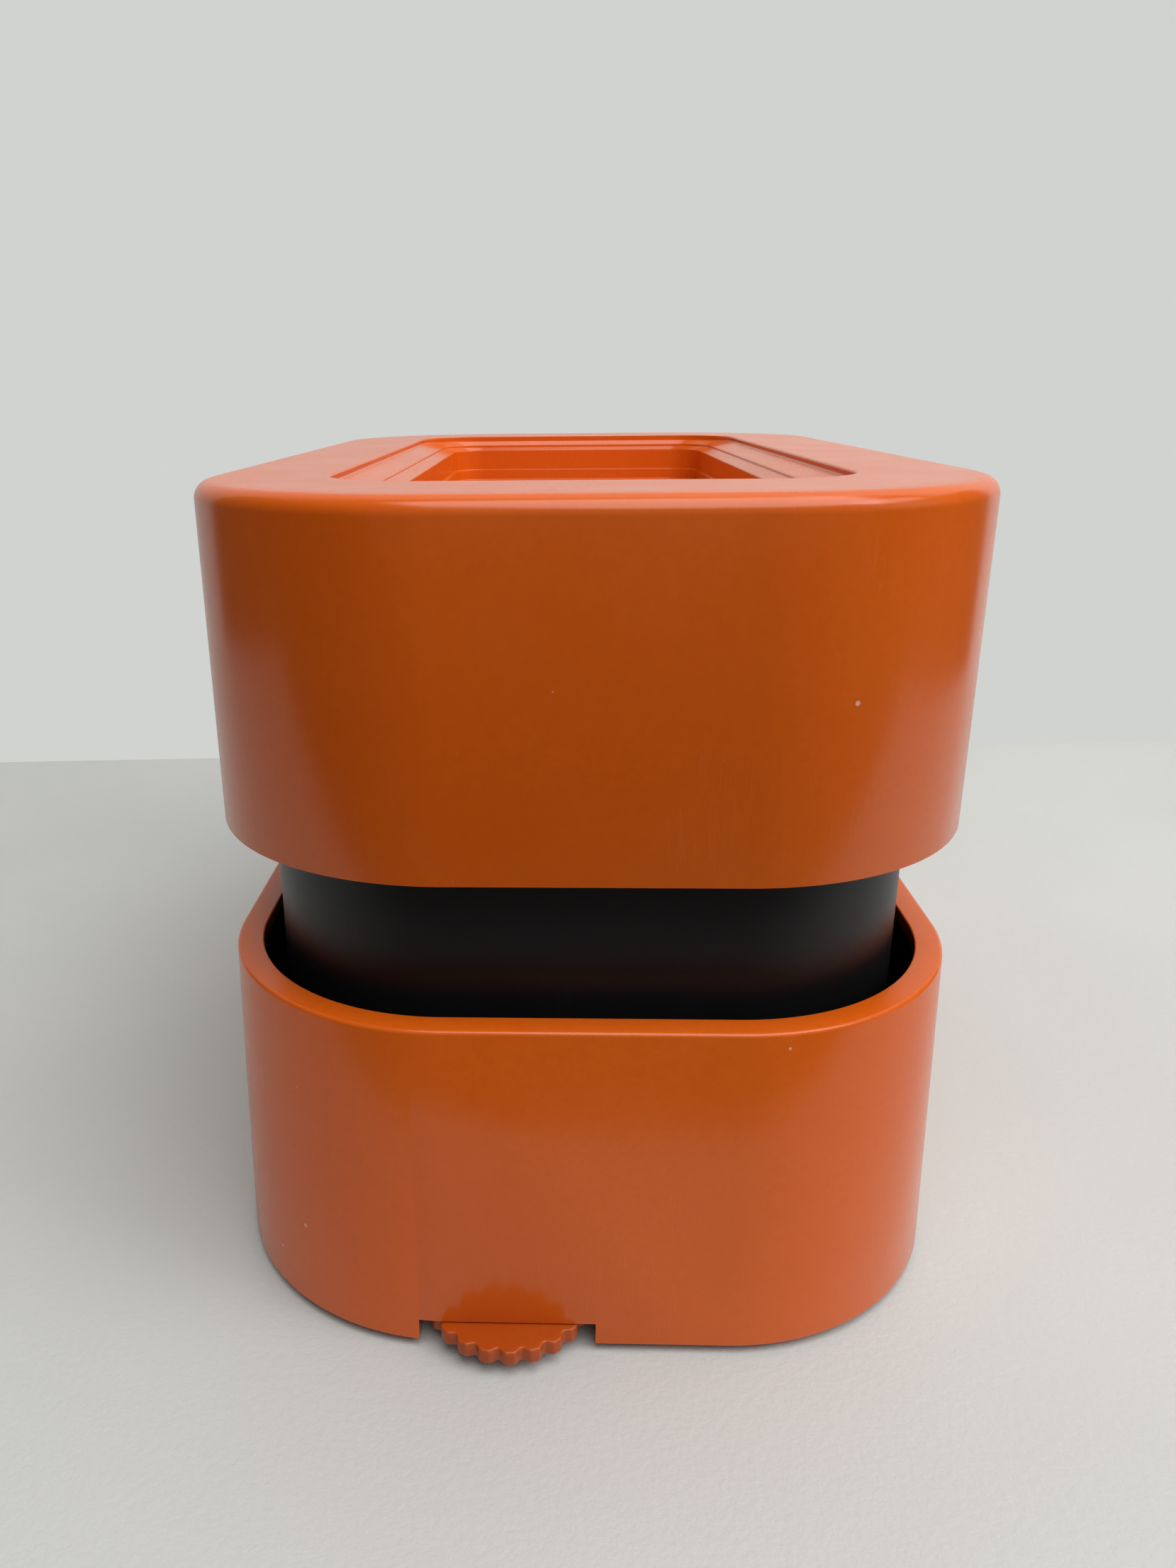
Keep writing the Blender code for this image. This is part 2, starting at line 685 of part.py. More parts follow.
def rack_bar():
    """Rack teeth meet the pinion on its +X side. The lowest one is level with the pinion's axis."""
    pitch = math.pi * GEAR_MODULE
    pitch_x = DRUM_X + GEAR_MODULE * PINION_TEETH / 2 + RACK_PLAY
    tip_x = pitch_x - 0.9 * GEAR_MODULE
    root_x = pitch_x + 1.25 * GEAR_MODULE
    back_x = root_x + 2.4
    slope = math.tan(math.radians(20))
    half_pitch_line = pitch / 4 - 0.1
    low, high = 21.4, BRACKET_Z[1]
    outline = [(back_x, high), (back_x, low), (root_x, low)]
    for tooth in range(RACK_TEETH):
        middle = DRUM_Z + tooth * pitch
        for x, side in ((root_x, -1), (tip_x, -1), (tip_x, 1), (root_x, 1)):
            half = half_pitch_line + (x - pitch_x) * slope
            outline.append((x, middle + side * half))
    outline.append((root_x, high))
    rack = prism_along_y("rack_bar", outline, (RACK_Y - 1.7, RACK_Y + 1.7), STEEL)
    foot = box("rack_foot", (root_x + 0.2, -12.5), (RACK_Y - 3.5, RACK_Y + 3.5), BRACKET_Z)
    join(rack, foot)
    for index, place in enumerate(rack_screw_places()):
        cut(rack, rod(f"rack_hole_{index}", CLEARANCE_R, place, THROUGH_ROOF_Z, sides=12))
    return rack


def dial_drum():
    """A drum open at its -Y end, with a hub on the shaft, and the shaft itself."""
    centre = (DRUM_X, DRUM_Z)
    drum = rod("dial_drum", DRUM_R, centre, (-DRUM_HALF, DRUM_HALF), "Y", IVORY, sides=48)
    hollow = rod("drum_hollow", DRUM_R - 1.6, centre, (-20, 6), "Y", sides=32)
    hub = rod("drum_hub", 3.4, centre, (-DRUM_HALF, 8), "Y")
    bore = rod("drum_bore", SHAFT_R + GAP, centre, THROUGH_Y, "Y", sides=16)
    cut(drum, hollow)
    join(drum, hub)
    cut(drum, bore)
    rod("drum_shaft", SHAFT_R, centre, (-20.5, 24.5), "Y", STEEL, sides=16)


def drum_bracket():
    """A strap with two uprights that hold the shaft, and an ear on each for the pointer wire."""
    half = DRUM_BRACKET_HALF
    metal = 1.2
    base_x = (DRUM_X - 6, DRUM_X + 6)
    bracket = box("drum_bracket", base_x, (-half, half), (DECK_Z, DECK_Z + DECK_METAL), STEEL)
    top_z, top_half = DRUM_Z + 4, 3.5
    outline = [
        (base_x[0], DECK_Z),
        (base_x[1], DECK_Z),
        (DRUM_X + top_half, top_z),
        (DRUM_X - top_half, top_z),
    ]
    pointer_x = (-41.7, -41.1)
    for index, y in enumerate(((-half, metal - half), (half - metal, half))):
        join(bracket, prism_along_y(f"drum_upright_{index}", outline, y))
        ear = box(f"pointer_ear_{index}", (pointer_x[1] + GAP, DRUM_X), y, (DRUM_Z - 1.4, DRUM_Z + 1.4))
        join(bracket, ear)
    cut(bracket, rod("drum_bearing", SHAFT_R + GAP, (DRUM_X, DRUM_Z), THROUGH_Y, "Y", sides=16))
    for index, place in enumerate(drum_screw_places()):
        cut(bracket, rod(f"drum_hole_{index}", CLEARANCE_R, place, THROUGH_DECK_Z, sides=12))
    box("index_pointer", pointer_x, (-half, half), (DRUM_Z - 0.25, DRUM_Z + 0.25), RED)


# --- Main spring and zero adjuster ---


def main_spring():
    low, high = SPRING_Z
    bottom, top = low + SPRING_WIRE, high - SPRING_WIRE
    per_turn = 12
    count = SPRING_TURNS * per_turn
    curve = bpy.data.curves.new("main_spring", "CURVE")
    curve.dimensions = "3D"
    curve.bevel_depth = SPRING_WIRE * MM
    curve.bevel_resolution = 2
    curve.use_fill_caps = True
    spline = curve.splines.new("POLY")
    spline.points.add(count)
    closed_turn = 1.0 / SPRING_TURNS
    end_rise = 2.2 * SPRING_WIRE
    for index in range(count + 1):
        part = index / count
        angle = 2 * math.pi * SPRING_TURNS * part
        if part < closed_turn:
            z = bottom + end_rise * part / closed_turn
        elif part > 1 - closed_turn:
            z = top - end_rise * (1 - part) / closed_turn
        else:
            middle = (part - closed_turn) / (1 - 2 * closed_turn)
            z = bottom + end_rise + (top - bottom - 2 * end_rise) * middle
        x = SPRING_AT[0] + SPRING_R * math.cos(angle)
        y = SPRING_AT[1] + SPRING_R * math.sin(angle)
        spline.points[index].co = (x * MM, y * MM, z * MM, 1)
    spring = bpy.data.objects.new("main_spring", curve)
    PARTS.objects.link(spring)
    curve.materials.append(material(STEEL))
    spring.parent = ORIGIN
    return spring


def lever_centre_x(y):
    """The lever's centre line runs straight from the nut to the spring."""
    part = (y - WHEEL_Y) / (SPRING_AT[1] - WHEEL_Y)
    return WHEEL_X + (SPRING_AT[0] - WHEEL_X) * part


def zero_lever():
    """A flat bar from a fork round the nut's waist to a pad under the spring, hinged between them."""
    half = LEVER_HALF
    ends = (WHEEL_Y + 3.0, SPRING_AT[1])
    outline = [
        (lever_centre_x(ends[0]) - half, ends[0]),
        (lever_centre_x(ends[1]) - half, ends[1]),
        (lever_centre_x(ends[1]) + half, ends[1]),
        (lever_centre_x(ends[0]) + half, ends[0]),
    ]
    lever = prism("zero_lever", outline, LEVER_Z, "Z", STEEL)
    middle_z = sum(LEVER_Z) / 2
    pivot_x = lever_centre_x(LEVER_PIVOT_Y)
    pad = rod("lever_pad", 9.0, SPRING_AT, LEVER_Z, sides=24)
    knuckle = rod("lever_knuckle", 3.0, (LEVER_PIVOT_Y, middle_z), (pivot_x - 4.5, pivot_x + 4.5), "X")
    fork_x = (WHEEL_X - 4.8, WHEEL_X + 4.8)
    fork = box("lever_fork", fork_x, (WHEEL_Y - 2.6, WHEEL_Y + 7.0), LEVER_Z)
    join(lever, pad, knuckle, fork)
    slot_half = 2.8
    slot_x = (WHEEL_X - slot_half, WHEEL_X + slot_half)
    slot = box("fork_slot", slot_x, (WHEEL_Y - 15, WHEEL_Y), (5, 20))
    slot_end = rod("fork_slot_end", slot_half, (WHEEL_X, WHEEL_Y), (5, 20))
    bore = rod("lever_bore", LEVER_BORE_R, (LEVER_PIVOT_Y, middle_z), THROUGH_X, "X", sides=16)
    return cut(lever, slot, slot_end, bore)


def lever_bracket():
    middle_z = sum(LEVER_Z) / 2
    pivot_x = lever_centre_x(LEVER_PIVOT_Y)
    start = LEVER_PIVOT_Y - 10
    strap = box("lever_bracket", (-18.5, 8.5), (start, start + 5), (DECK_Z, DECK_Z + DECK_METAL), STEEL)
    outline = [
        (start, DECK_Z),
        (LEVER_PIVOT_Y + 3.5, DECK_Z),
        (LEVER_PIVOT_Y + 3.5, middle_z + 1.05),
        (LEVER_PIVOT_Y + 1.5, middle_z + 3.05),
        (LEVER_PIVOT_Y - 1.5, middle_z + 3.05),
        (start, middle_z - 1.95),
    ]
    near, far = LEVER_HALF + 1.8, LEVER_HALF + 3.4
    for index, x in enumerate(((pivot_x - far, pivot_x - near), (pivot_x + near, pivot_x + far))):
        join(strap, prism(f"lever_lug_{index}", outline, x, "X"))
    cut(strap, rod("lug_bores", LEVER_BORE_R, (LEVER_PIVOT_Y, middle_z), THROUGH_X, "X", sides=16))
    for index, place in enumerate(lever_screw_places()):
        cut(strap, rod(f"lever_hole_{index}", CLEARANCE_R, place, THROUGH_DECK_Z, sides=12))
    span = (pivot_x - far - 1.2, pivot_x + far + 1.2)
    rod("lever_pin", LEVER_PIN_R, (LEVER_PIVOT_Y, middle_z), span, "X", STEEL, sides=16)


def spring_seat():
    """A cup washer on the lever's pad, with a boss inside the spring's last coil."""
    low = LEVER_Z[1] + GAP
    boss_r = SPRING_R - SPRING_WIRE - GAP
    top = SPRING_Z[0] - GAP
    profile = [(8.6, low), (8.6, top), (boss_r, top), (boss_r, top + 2.4), (boss_r - 0.8, top + 3.2)]
    return turned("spring_seat", SPRING_AT, profile, BLACK, sides=24)


def wheel_outline():
    """Round-shouldered lobes with narrow hollows between them, one lobe near the -Y side."""
    points = []
    per_lobe = 10
    shoulder = 0.5
    for step in range(WHEEL_LOBES * per_lobe):
        off_lobe = abs((step % per_lobe) - per_lobe / 2) * 2 / per_lobe
        fall = max(0.0, (off_lobe - shoulder) / (1 - shoulder))
        radius = WHEEL_R - LOBE_DEPTH * (0.5 - 0.5 * math.cos(math.pi * fall))
        turn = 360 * (step / per_lobe - 0.5) / WHEEL_LOBES + LOBE_TURN
        angle = math.radians(turn)
        points.append((WHEEL_X + radius * math.sin(angle), WHEEL_Y - radius * math.cos(angle)))
    return points


def zero_adjuster():
    """The thumb wheel on its screw, and the nut that the screw moves up and down."""
    wheel = prism("zero_wheel", wheel_outline(), WHEEL_Z, "Z", ORANGE)
    place = (WHEEL_X, WHEEL_Y)
    neck = rod("wheel_neck", 2.5, place, (WHEEL_Z[1] - 0.5, DECK_Z + 0.5))
    collar = rod("wheel_collar", 3.6, place, (DECK_Z, 8.0))
    screw_r = 1.5
    screw_z = (WHEEL_Z[0] + 0.95, 14.2)
    bore = rod("wheel_bore", screw_r + GAP, place, (screw_z[0] - GAP, 20))
    join(wheel, neck, collar)
    cut(wheel, bore)
    rod("zero_screw", screw_r, place, screw_z, "Z", STEEL, sides=16)
    low, high = NUT_Z
    waist = (low + 0.7, high - 0.7)
    profile = [(3.7, low), (3.7, waist[0]), (2.5, waist[0]), (2.5, waist[1]), (3.7, waist[1]), (3.7, high)]
    nut = turned("zero_nut", place, profile, BRASS, sides=18)
    cut(nut, rod("nut_bore", screw_r + GAP, place, (0, 20), sides=16))


# --- Cover ---


def cover_bowl():
    body = (COVER_HALF_X, COVER_HALF_Y, COVER_CORNER)
    recess = (RECESS_HALF_X, RECESS_HALF_Y, RECESS_CORNER)
    outside, inside = [], []
    floor_in, floor_depth = RECESS_STEPS[-1]
    outside.append(inset(recess, floor_in, TOP_Z - floor_depth))
    inside.append(inset(recess, floor_in - RECESS_SKIN, TOP_Z - floor_depth - RECESS_SKIN))
    for index in range(len(RECESS_STEPS) - 1, 0, -1):
        step_in, _ = RECESS_STEPS[index]
        wider_in, level = RECESS_STEPS[index - 1]
        for amount in (step_in, wider_in):
            outside.append(inset(recess, amount, TOP_Z - level))
            inside.append(inset(recess, amount - RECESS_SKIN, TOP_Z - level - RECESS_SKIN))
    outside.append(inset(recess, 0.0, TOP_Z))
    inside.append(inset(recess, -RECESS_SKIN, TOP_Z - COVER_CEILING))
    for degrees in (0, 30, 60, 90):
        angle = math.radians(degrees)
        drop = TOP_ROUND * (1 - math.cos(angle))
        outside.append(inset(body, TOP_ROUND * (1 - math.sin(angle)), TOP_Z - drop))
    outside.append(inset(body, 0.0, MOUTH_Z))
    inside.append(inset(body, COVER_WALL + 1.0, TOP_Z - COVER_CEILING))
    inside.append(inset(body, COVER_WALL, TOP_Z - COVER_CEILING - 1.0))
    inside.append(inset(body, COVER_WALL, MOUTH_Z))
    return loft("cover_bowl", outside + inside[::-1], ORANGE)


def carry_on_pivot(name, place, *nodes):
    """Parents nodes to an empty on their joint's axis, without moving them."""
    pivot = bpy.data.objects.new(name, None)
    PARTS.objects.link(pivot)
    pivot.parent = ORIGIN
    pivot.location = Vector(place) * MM
    for node in nodes:
        obj = bpy.data.objects[node]
        obj.parent = pivot
        obj.matrix_parent_inverse = Matrix.Translation(-Vector(place) * MM)


def pivots():
    lever_axis = (lever_centre_x(LEVER_PIVOT_Y), LEVER_PIVOT_Y, sum(LEVER_Z) / 2)
    carry_on_pivot("dial_axis", (DRUM_X, 0, DRUM_Z), "dial_drum", "drum_shaft", "pinion")
    carry_on_pivot("zero_wheel_axis", (WHEEL_X, WHEEL_Y, 0), "zero_wheel", "zero_screw", "zero_nut")
    carry_on_pivot("zero_lever_axis", lever_axis, "zero_lever", "spring_seat")


def build():
    base_shell()
    inner_liner()
    bottom_plate()
    feet()
    plate_screws()
    window_parts()
    chassis_frame()
    deck_screws()
    guide_arm("lower_arm", LOWER_PIVOT_Z)
    guide_arm("upper_arm", UPPER_PIVOT_Z)
    pins()
    carrier_bracket()
    carrier_screws()
    load_carrier()
    overload_stops()
    pinion()
    rack_bar()
    dial_drum()
    drum_bracket()
    main_spring()
    zero_lever()
    lever_bracket()
    spring_seat()
    zero_adjuster()
    cover_bowl()
    pivots()


clear_scene()
PARTS = collection("kitchen_scale")
TOOLS = collection("cutters")
ORIGIN = bpy.data.objects.new("body_centre", None)
ORIGIN.location = (0.0, FRAME_SHIFT_Y * MM, 0.0)
PARTS.objects.link(ORIGIN)
build()
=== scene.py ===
"""Looks for the kitchen spring scale: smooth shells, the zero wheel, the dial and its window, and every
material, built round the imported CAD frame. Lengths are millimetres until a mesh is made."""

import math

import bmesh
import bpy
from mathutils import Matrix, Vector


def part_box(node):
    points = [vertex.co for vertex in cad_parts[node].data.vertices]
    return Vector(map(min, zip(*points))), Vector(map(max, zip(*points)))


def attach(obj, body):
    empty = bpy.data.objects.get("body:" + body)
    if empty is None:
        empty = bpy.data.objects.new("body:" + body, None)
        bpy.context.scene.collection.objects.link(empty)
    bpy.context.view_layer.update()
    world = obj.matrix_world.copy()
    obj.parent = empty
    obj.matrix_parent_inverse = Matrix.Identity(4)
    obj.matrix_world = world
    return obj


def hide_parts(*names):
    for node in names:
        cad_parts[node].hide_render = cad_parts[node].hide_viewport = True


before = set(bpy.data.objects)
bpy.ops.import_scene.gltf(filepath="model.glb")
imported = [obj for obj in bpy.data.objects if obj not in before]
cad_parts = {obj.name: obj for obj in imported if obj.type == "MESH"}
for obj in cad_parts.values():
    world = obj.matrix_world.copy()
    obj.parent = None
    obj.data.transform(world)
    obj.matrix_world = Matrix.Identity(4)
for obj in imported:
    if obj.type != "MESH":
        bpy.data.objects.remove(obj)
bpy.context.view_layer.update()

MM = 0.001
CORNER_STEPS = 40

# Plan outlines: half width, half length, corner radius, and the share of an inset that the ends take.
# The recess's steps run along its two sides, and its ends are steep.
RIM = (50.0, 85.15, 31.6, 1.0)
COVER = (50.15, 85.3, 32.5, 1.0)
RECESS = (33.3, 65.65, 12.4, 0.15)
CARRIER = (43.3, 78.5, 25.0, 1.0)


def edges(node):
    """A node's lowest and highest corner, in millimetres."""
    low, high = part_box(node)
    return Vector(low) / MM, Vector(high) / MM


BASE_LOW, BASE_HIGH = edges("base_shell")
COVER_LOW, COVER_HIGH = edges("cover_bowl")
CARRIER_LOW, CARRIER_HIGH = edges("load_carrier")
WHEEL_LOW, WHEEL_HIGH = edges("zero_wheel")
CENTRE_Y = (COVER_LOW.y + COVER_HIGH.y) / 2
RIM_Z = BASE_HIGH.z
FOOT_Z = BASE_LOW.z
TOP_Z = COVER_HIGH.z
MOUTH_Z = COVER_LOW.z
FLARE = BASE_HIGH.x - RIM[0]
WHEEL_CENTRE = (WHEEL_LOW + WHEEL_HIGH) / 2
WHEEL_R = (WHEEL_HIGH.x - WHEEL_LOW.x) / 2
NOTCH_TOP = 4.5
NOTCH_HALF = 11.7
RECESS_DEPTH = 9.2
WINDOW_LOW, WINDOW_HIGH = edges("window_bezel")
WINDOW_GAP = 0.3
WINDOW_CORNER = 3.0
BEZEL_BORDER = 2.1
WINDOW_CUT_X = (-60, -40)
DRUM_LOW, DRUM_HIGH = edges("dial_drum")
DRUM_CENTRE = (DRUM_LOW + DRUM_HIGH) / 2
DRUM_R = (DRUM_HIGH.x - DRUM_LOW.x) / 2
FEET = (1, 2, 3, 4)

# The dial: radians for each metre of travel, the travel in metres, and loads in grams.
DIAL_RATIO = 333.333
LOAD_TRAVEL = 0.014
FULL_TURN = DIAL_RATIO * LOAD_TRAVEL
FULL_LOAD = 2000
TICK_STEP = 50
NUMBER_STEP = 250
NUMBER_SIZE = 3.0
INK_RISE = 0.08


# --- Mesh helpers ---


def outline(shape, inset=0.0, steps=CORNER_STEPS):
    """Points of a round-cornered rectangle moved in by inset, anticlockwise from its +X side.

    A shape is (half width, half length, corner radius, share of an inset that its two ends take).
    """
    half_x, half_y, corner, end_share = shape
    half_x, half_y, corner = half_x - inset, half_y - inset * end_share, max(corner - inset, 0.3)
    points = []
    for sign_x, sign_y, start in ((1, 1, 0), (-1, 1, 90), (-1, -1, 180), (1, -1, 270)):
        for step in range(steps + 1):
            angle = math.radians(start + 90 * step / steps)
            x = sign_x * (half_x - corner) + corner * math.cos(angle)
            y = sign_y * (half_y - corner) + corner * math.sin(angle)
            points.append((x, y))
    return points


def rounded(path, steps=5):
    """A path of (u, v, radius) points with each corner rounded to its radius, as (u, v) points."""
    points = [path[0][:2]]
    for before, here, after in zip(path, path[1:], path[2:]):
        corner = Vector(here[:2])
        back = (Vector(before[:2]) - corner).normalized()
        ahead = (Vector(after[:2]) - corner).normalized()
        radius = here[2]
        half = back.angle(ahead, math.pi) / 2
        if radius <= 0 or half > math.radians(89):
            points.append(tuple(corner))
            continue
        reach = radius / math.tan(half)
        centre = corner + (back + ahead).normalized() * (radius / math.sin(half))
        start = corner + back * reach - centre
        end = corner + ahead * reach - centre
        turn = start.angle_signed(end, 0.0)
        for step in range(steps + 1):
            spun = start.copy()
            spun.rotate(Matrix.Rotation(-turn * step / steps, 2))
            points.append(tuple(centre + spun))
    points.append(path[-1][:2])
    return points


def recess_path(levels, base_z, sign, start, end, side=0.0, edge=0.3):
    """A stepped path of (inset, z, rounding): levels are (inset, depth at its foot, depth at its far end)."""
    path = [(start, base_z, 0.0)]
    last = 0.0
    for inset, foot, far in levels:
        path.append((inset + side, base_z + sign * last, edge))
        path.append((inset + side, base_z + sign * foot, edge))
        last = far
    path.append((end, base_z + sign * last, 0.0))
    return path


def mesh_object(name, bm):
    """Turns a bmesh in millimetres into an object in metres, with its normals outwards."""
    bmesh.ops.scale(bm, vec=(MM, MM, MM), verts=bm.verts)
    bmesh.ops.recalc_face_normals(bm, faces=bm.faces)
    mesh = bpy.data.meshes.new(name)
    bm.to_mesh(mesh)
    bm.free()
    obj = bpy.data.objects.new(name, mesh)
    bpy.context.scene.collection.objects.link(obj)
    return obj


def join_rings(bm, rings, closed=False, capped=True):
    """Faces between each ring of vertices and the next. An open run gets flat caps if it is capped."""
    pairs = list(zip(rings, rings[1:]))
    if closed:
        pairs.append((rings[-1], rings[0]))
    for low, high in pairs:
        count = len(low)
        for i in range(count):
            j = (i + 1) % count
            bm.faces.new((low[i], low[j], high[j], high[i]))
    if capped and not closed:
        bm.faces.new(rings[0])
        bm.faces.new(rings[-1])


def skin(name, sections, closed=False):
    """Skins a run of (shape, inset, z) sections about the body's centre. An open run gets flat caps."""
    bm = bmesh.new()
    loops = []
    for shape, inset, z in sections:
        loops.append([bm.verts.new((x, y + CENTRE_Y, z)) for x, y in outline(shape, inset)])
    join_rings(bm, loops, closed)
    return mesh_object(name, bm)


def shell_of(name, outside, inside):
    """A hollow shell, open at its mouth and flat at its far end.

    The outside run goes up from the mouth, and the inside run comes back down to it.
    """
    bm = bmesh.new()
    rings = []
    for shape, inset, z in outside + inside:
        rings.append([bm.verts.new((x, y + CENTRE_Y, z)) for x, y in outline(shape, inset)])
    count = len(outside)
    join_rings(bm, rings[count:] + rings[:count], capped=False)
    for far_end in (rings[count - 1], rings[count]):
        bm.faces.new(far_end)
    return mesh_object(name, bm)


def turned(name, place, profile, steps=64, axis="Z", closed=False):
    """Turns a profile of (radius, height) points about an axis through place. An open one gets flat caps."""
    bm = bmesh.new()
    rings = []
    for radius, height in profile:
        ring = []
        for step in range(steps):
            angle = 2 * math.pi * step / steps
            x, y = radius * math.cos(angle), radius * math.sin(angle)
            spot = Vector((x, y, height)) if axis == "Z" else Vector((x, height, -y))
            ring.append(bm.verts.new(Vector(place) + spot))
        rings.append(ring)
    join_rings(bm, rings, closed)
    return mesh_object(name, bm)


def extruded(name, points, low, high, axis="Z"):
    """A flat outline drawn out along an axis from low to high. Its points are the other two coordinates."""
    places = {
        "X": lambda a, b, t: (t, a, b),
        "Y": lambda a, b, t: (a, t, b),
        "Z": lambda a, b, t: (a, b, t),
    }
    bm = bmesh.new()
    rings = []
    for along in (low, high):
        rings.append([bm.verts.new(places[axis](a, b, along)) for a, b in points])
    join_rings(bm, rings)
    return mesh_object(name, bm)


def block(name, low, high):
    bm = bmesh.new()
    bmesh.ops.create_cube(bm, size=1.0)
    low, high = Vector(low), Vector(high)
    bmesh.ops.scale(bm, vec=high - low, verts=bm.verts)
    bmesh.ops.translate(bm, vec=(low + high) / 2, verts=bm.verts)
    return mesh_object(name, bm)


def apply_modifiers(obj):
    graph = bpy.context.evaluated_depsgraph_get()
    mesh = bpy.data.meshes.new_from_object(obj.evaluated_get(graph))
    obj.modifiers.clear()
    obj.data = mesh
    return obj


def boolean(obj, operation, others):
    for other in others:
        modifier = obj.modifiers.new(operation.lower(), "BOOLEAN")
        modifier.operation = operation
        modifier.solver = "EXACT"
        modifier.object = other
    apply_modifiers(obj)
    for other in others:
        bpy.data.objects.remove(other, do_unlink=True)
    return obj


def cut(obj, *others):
    return boolean(obj, "DIFFERENCE", others)


def joined(obj, *others):
    return boolean(obj, "UNION", others)


def soften(obj, width, segments=2, angle=40):
    """Rounds the edges that cuts and extrusions leave sharp."""
    modifier = obj.modifiers.new("soften", "BEVEL")
    modifier.width = width * MM
    modifier.segments = segments
    modifier.limit_method = "ANGLE"
    modifier.angle_limit = math.radians(angle)
    modifier.harden_normals = False
    return apply_modifiers(obj)


def smooth(obj, angle=32):
    obj.data.shade_smooth()
    obj.data.set_sharp_from_angle(angle=math.radians(angle))
    return obj


def dress(obj, material, body, slot, *nodes):
    """Finishes a piece: its material, the body it rides on, and the CAD nodes it stands for."""
    obj.data.materials.clear()
    obj.data.materials.append(material)
    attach(obj, body)
    if nodes:
        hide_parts(*nodes)
    return obj


# --- Materials ---


class Nodes:
    """Adds and links shader nodes in a few words."""

    def __init__(self, name):
        self.material = bpy.data.materials.new(name)
        self.material.use_nodes = True
        self.tree = self.material.node_tree
        self.shader = self.tree.nodes["Principled BSDF"]
        self.place = self.add("ShaderNodeTexCoord").outputs["Object"]

    def add(self, kind, **values):
        node = self.tree.nodes.new(kind)
        for key, value in values.items():
            setattr(node, key, value)
        return node

    def link(self, source, target):
        self.tree.links.new(source, target)

    def feed(self, socket, value):
        if isinstance(value, bpy.types.NodeSocket):
            self.link(value, socket)
        else:
            socket.default_value = value

    def math(self, operation, first, second=0.0):
        node = self.add("ShaderNodeMath", operation=operation)
        self.feed(node.inputs[0], first)
        self.feed(node.inputs[1], second)
        return node.outputs[0]

    def stretch(self, scale, turn=(0.0, 0.0, 0.0)):
        node = self.add("ShaderNodeMapping")
        node.inputs["Scale"].default_value = scale
        node.inputs["Rotation"].default_value = turn
        self.link(self.place, node.inputs["Vector"])
        return node.outputs[0]

    def noise(self, scale, detail=3.0, roughness=0.5, at=None):
        node = self.add("ShaderNodeTexNoise")
        node.inputs["Scale"].default_value = scale
        node.inputs["Detail"].default_value = detail
        node.inputs["Roughness"].default_value = roughness
        self.link(at or self.place, node.inputs["Vector"])
        return node.outputs["Fac"]

    def band(self, value, low, high, out_low=0.0, out_high=1.0):
        node = self.add("ShaderNodeMapRange")
        node.interpolation_type = "SMOOTHSTEP"
        self.feed(node.inputs["Value"], value)
        ends = {"From Min": low, "From Max": high, "To Min": out_low, "To Max": out_high}
        for key, number in ends.items():
            node.inputs[key].default_value = number
        return node.outputs[0]

    def specks(self, scale, size, share):
        """Round specks about size across, in a share of the cells of a grid of the given scale."""
        node = self.add("ShaderNodeTexVoronoi")
        node.inputs["Scale"].default_value = scale
        self.link(self.place, node.inputs["Vector"])
        split = self.add("ShaderNodeSeparateColor")
        self.link(node.outputs["Color"], split.inputs[0])
        chosen = self.math("LESS_THAN", split.outputs[0], share)
        reach = self.math("MULTIPLY", split.outputs[1], size)
        inside = self.band(self.math("SUBTRACT", reach, node.outputs["Distance"]), 0.0, size * 0.3)
        return self.math("MULTIPLY", chosen, inside)

    def scratches(self, turn, scale, width):
        """Thin, nearly straight marks, broken up so that none runs the whole length."""
        long = self.stretch((scale, scale * 0.035, scale * 0.035), turn)
        line = self.noise(1.0, 2.0, 0.6, long)
        ridge = self.math("ABSOLUTE", self.math("SUBTRACT", line, 0.5))
        thin = self.band(ridge, 0.0, width, 1.0, 0.0)
        gate = self.band(self.noise(scale * 0.06, 2.0), 0.58, 0.66)
        return self.math("MULTIPLY", thin, gate)

    def mix(self, amount, first, second):
        node = self.add("ShaderNodeMix", data_type="RGBA")
        self.feed(node.inputs["Factor"], amount)
        self.feed(node.inputs["A"], first)
        self.feed(node.inputs["B"], second)
        return node.outputs["Result"]

    def bump(self, height, strength, distance, under=None):
        node = self.add("ShaderNodeBump")
        node.inputs["Strength"].default_value = strength
        node.inputs["Distance"].default_value = distance
        self.feed(node.inputs["Height"], height)
        if under is not None:
            self.link(under, node.inputs["Normal"])
        return node.outputs[0]

    def edge_wear(self, radius, low, high):
        """1 along sharp edges, from how far a rounded normal leans from the true one."""
        bevel = self.add("ShaderNodeBevel", samples=4)
        bevel.inputs["Radius"].default_value = radius
        dot = self.add("ShaderNodeVectorMath", operation="DOT_PRODUCT")
        self.link(bevel.outputs[0], dot.inputs[0])
        self.link(self.add("ShaderNodeNewGeometry").outputs["Normal"], dot.inputs[1])
        return self.band(dot.outputs["Value"], low, high, 1.0, 0.0)


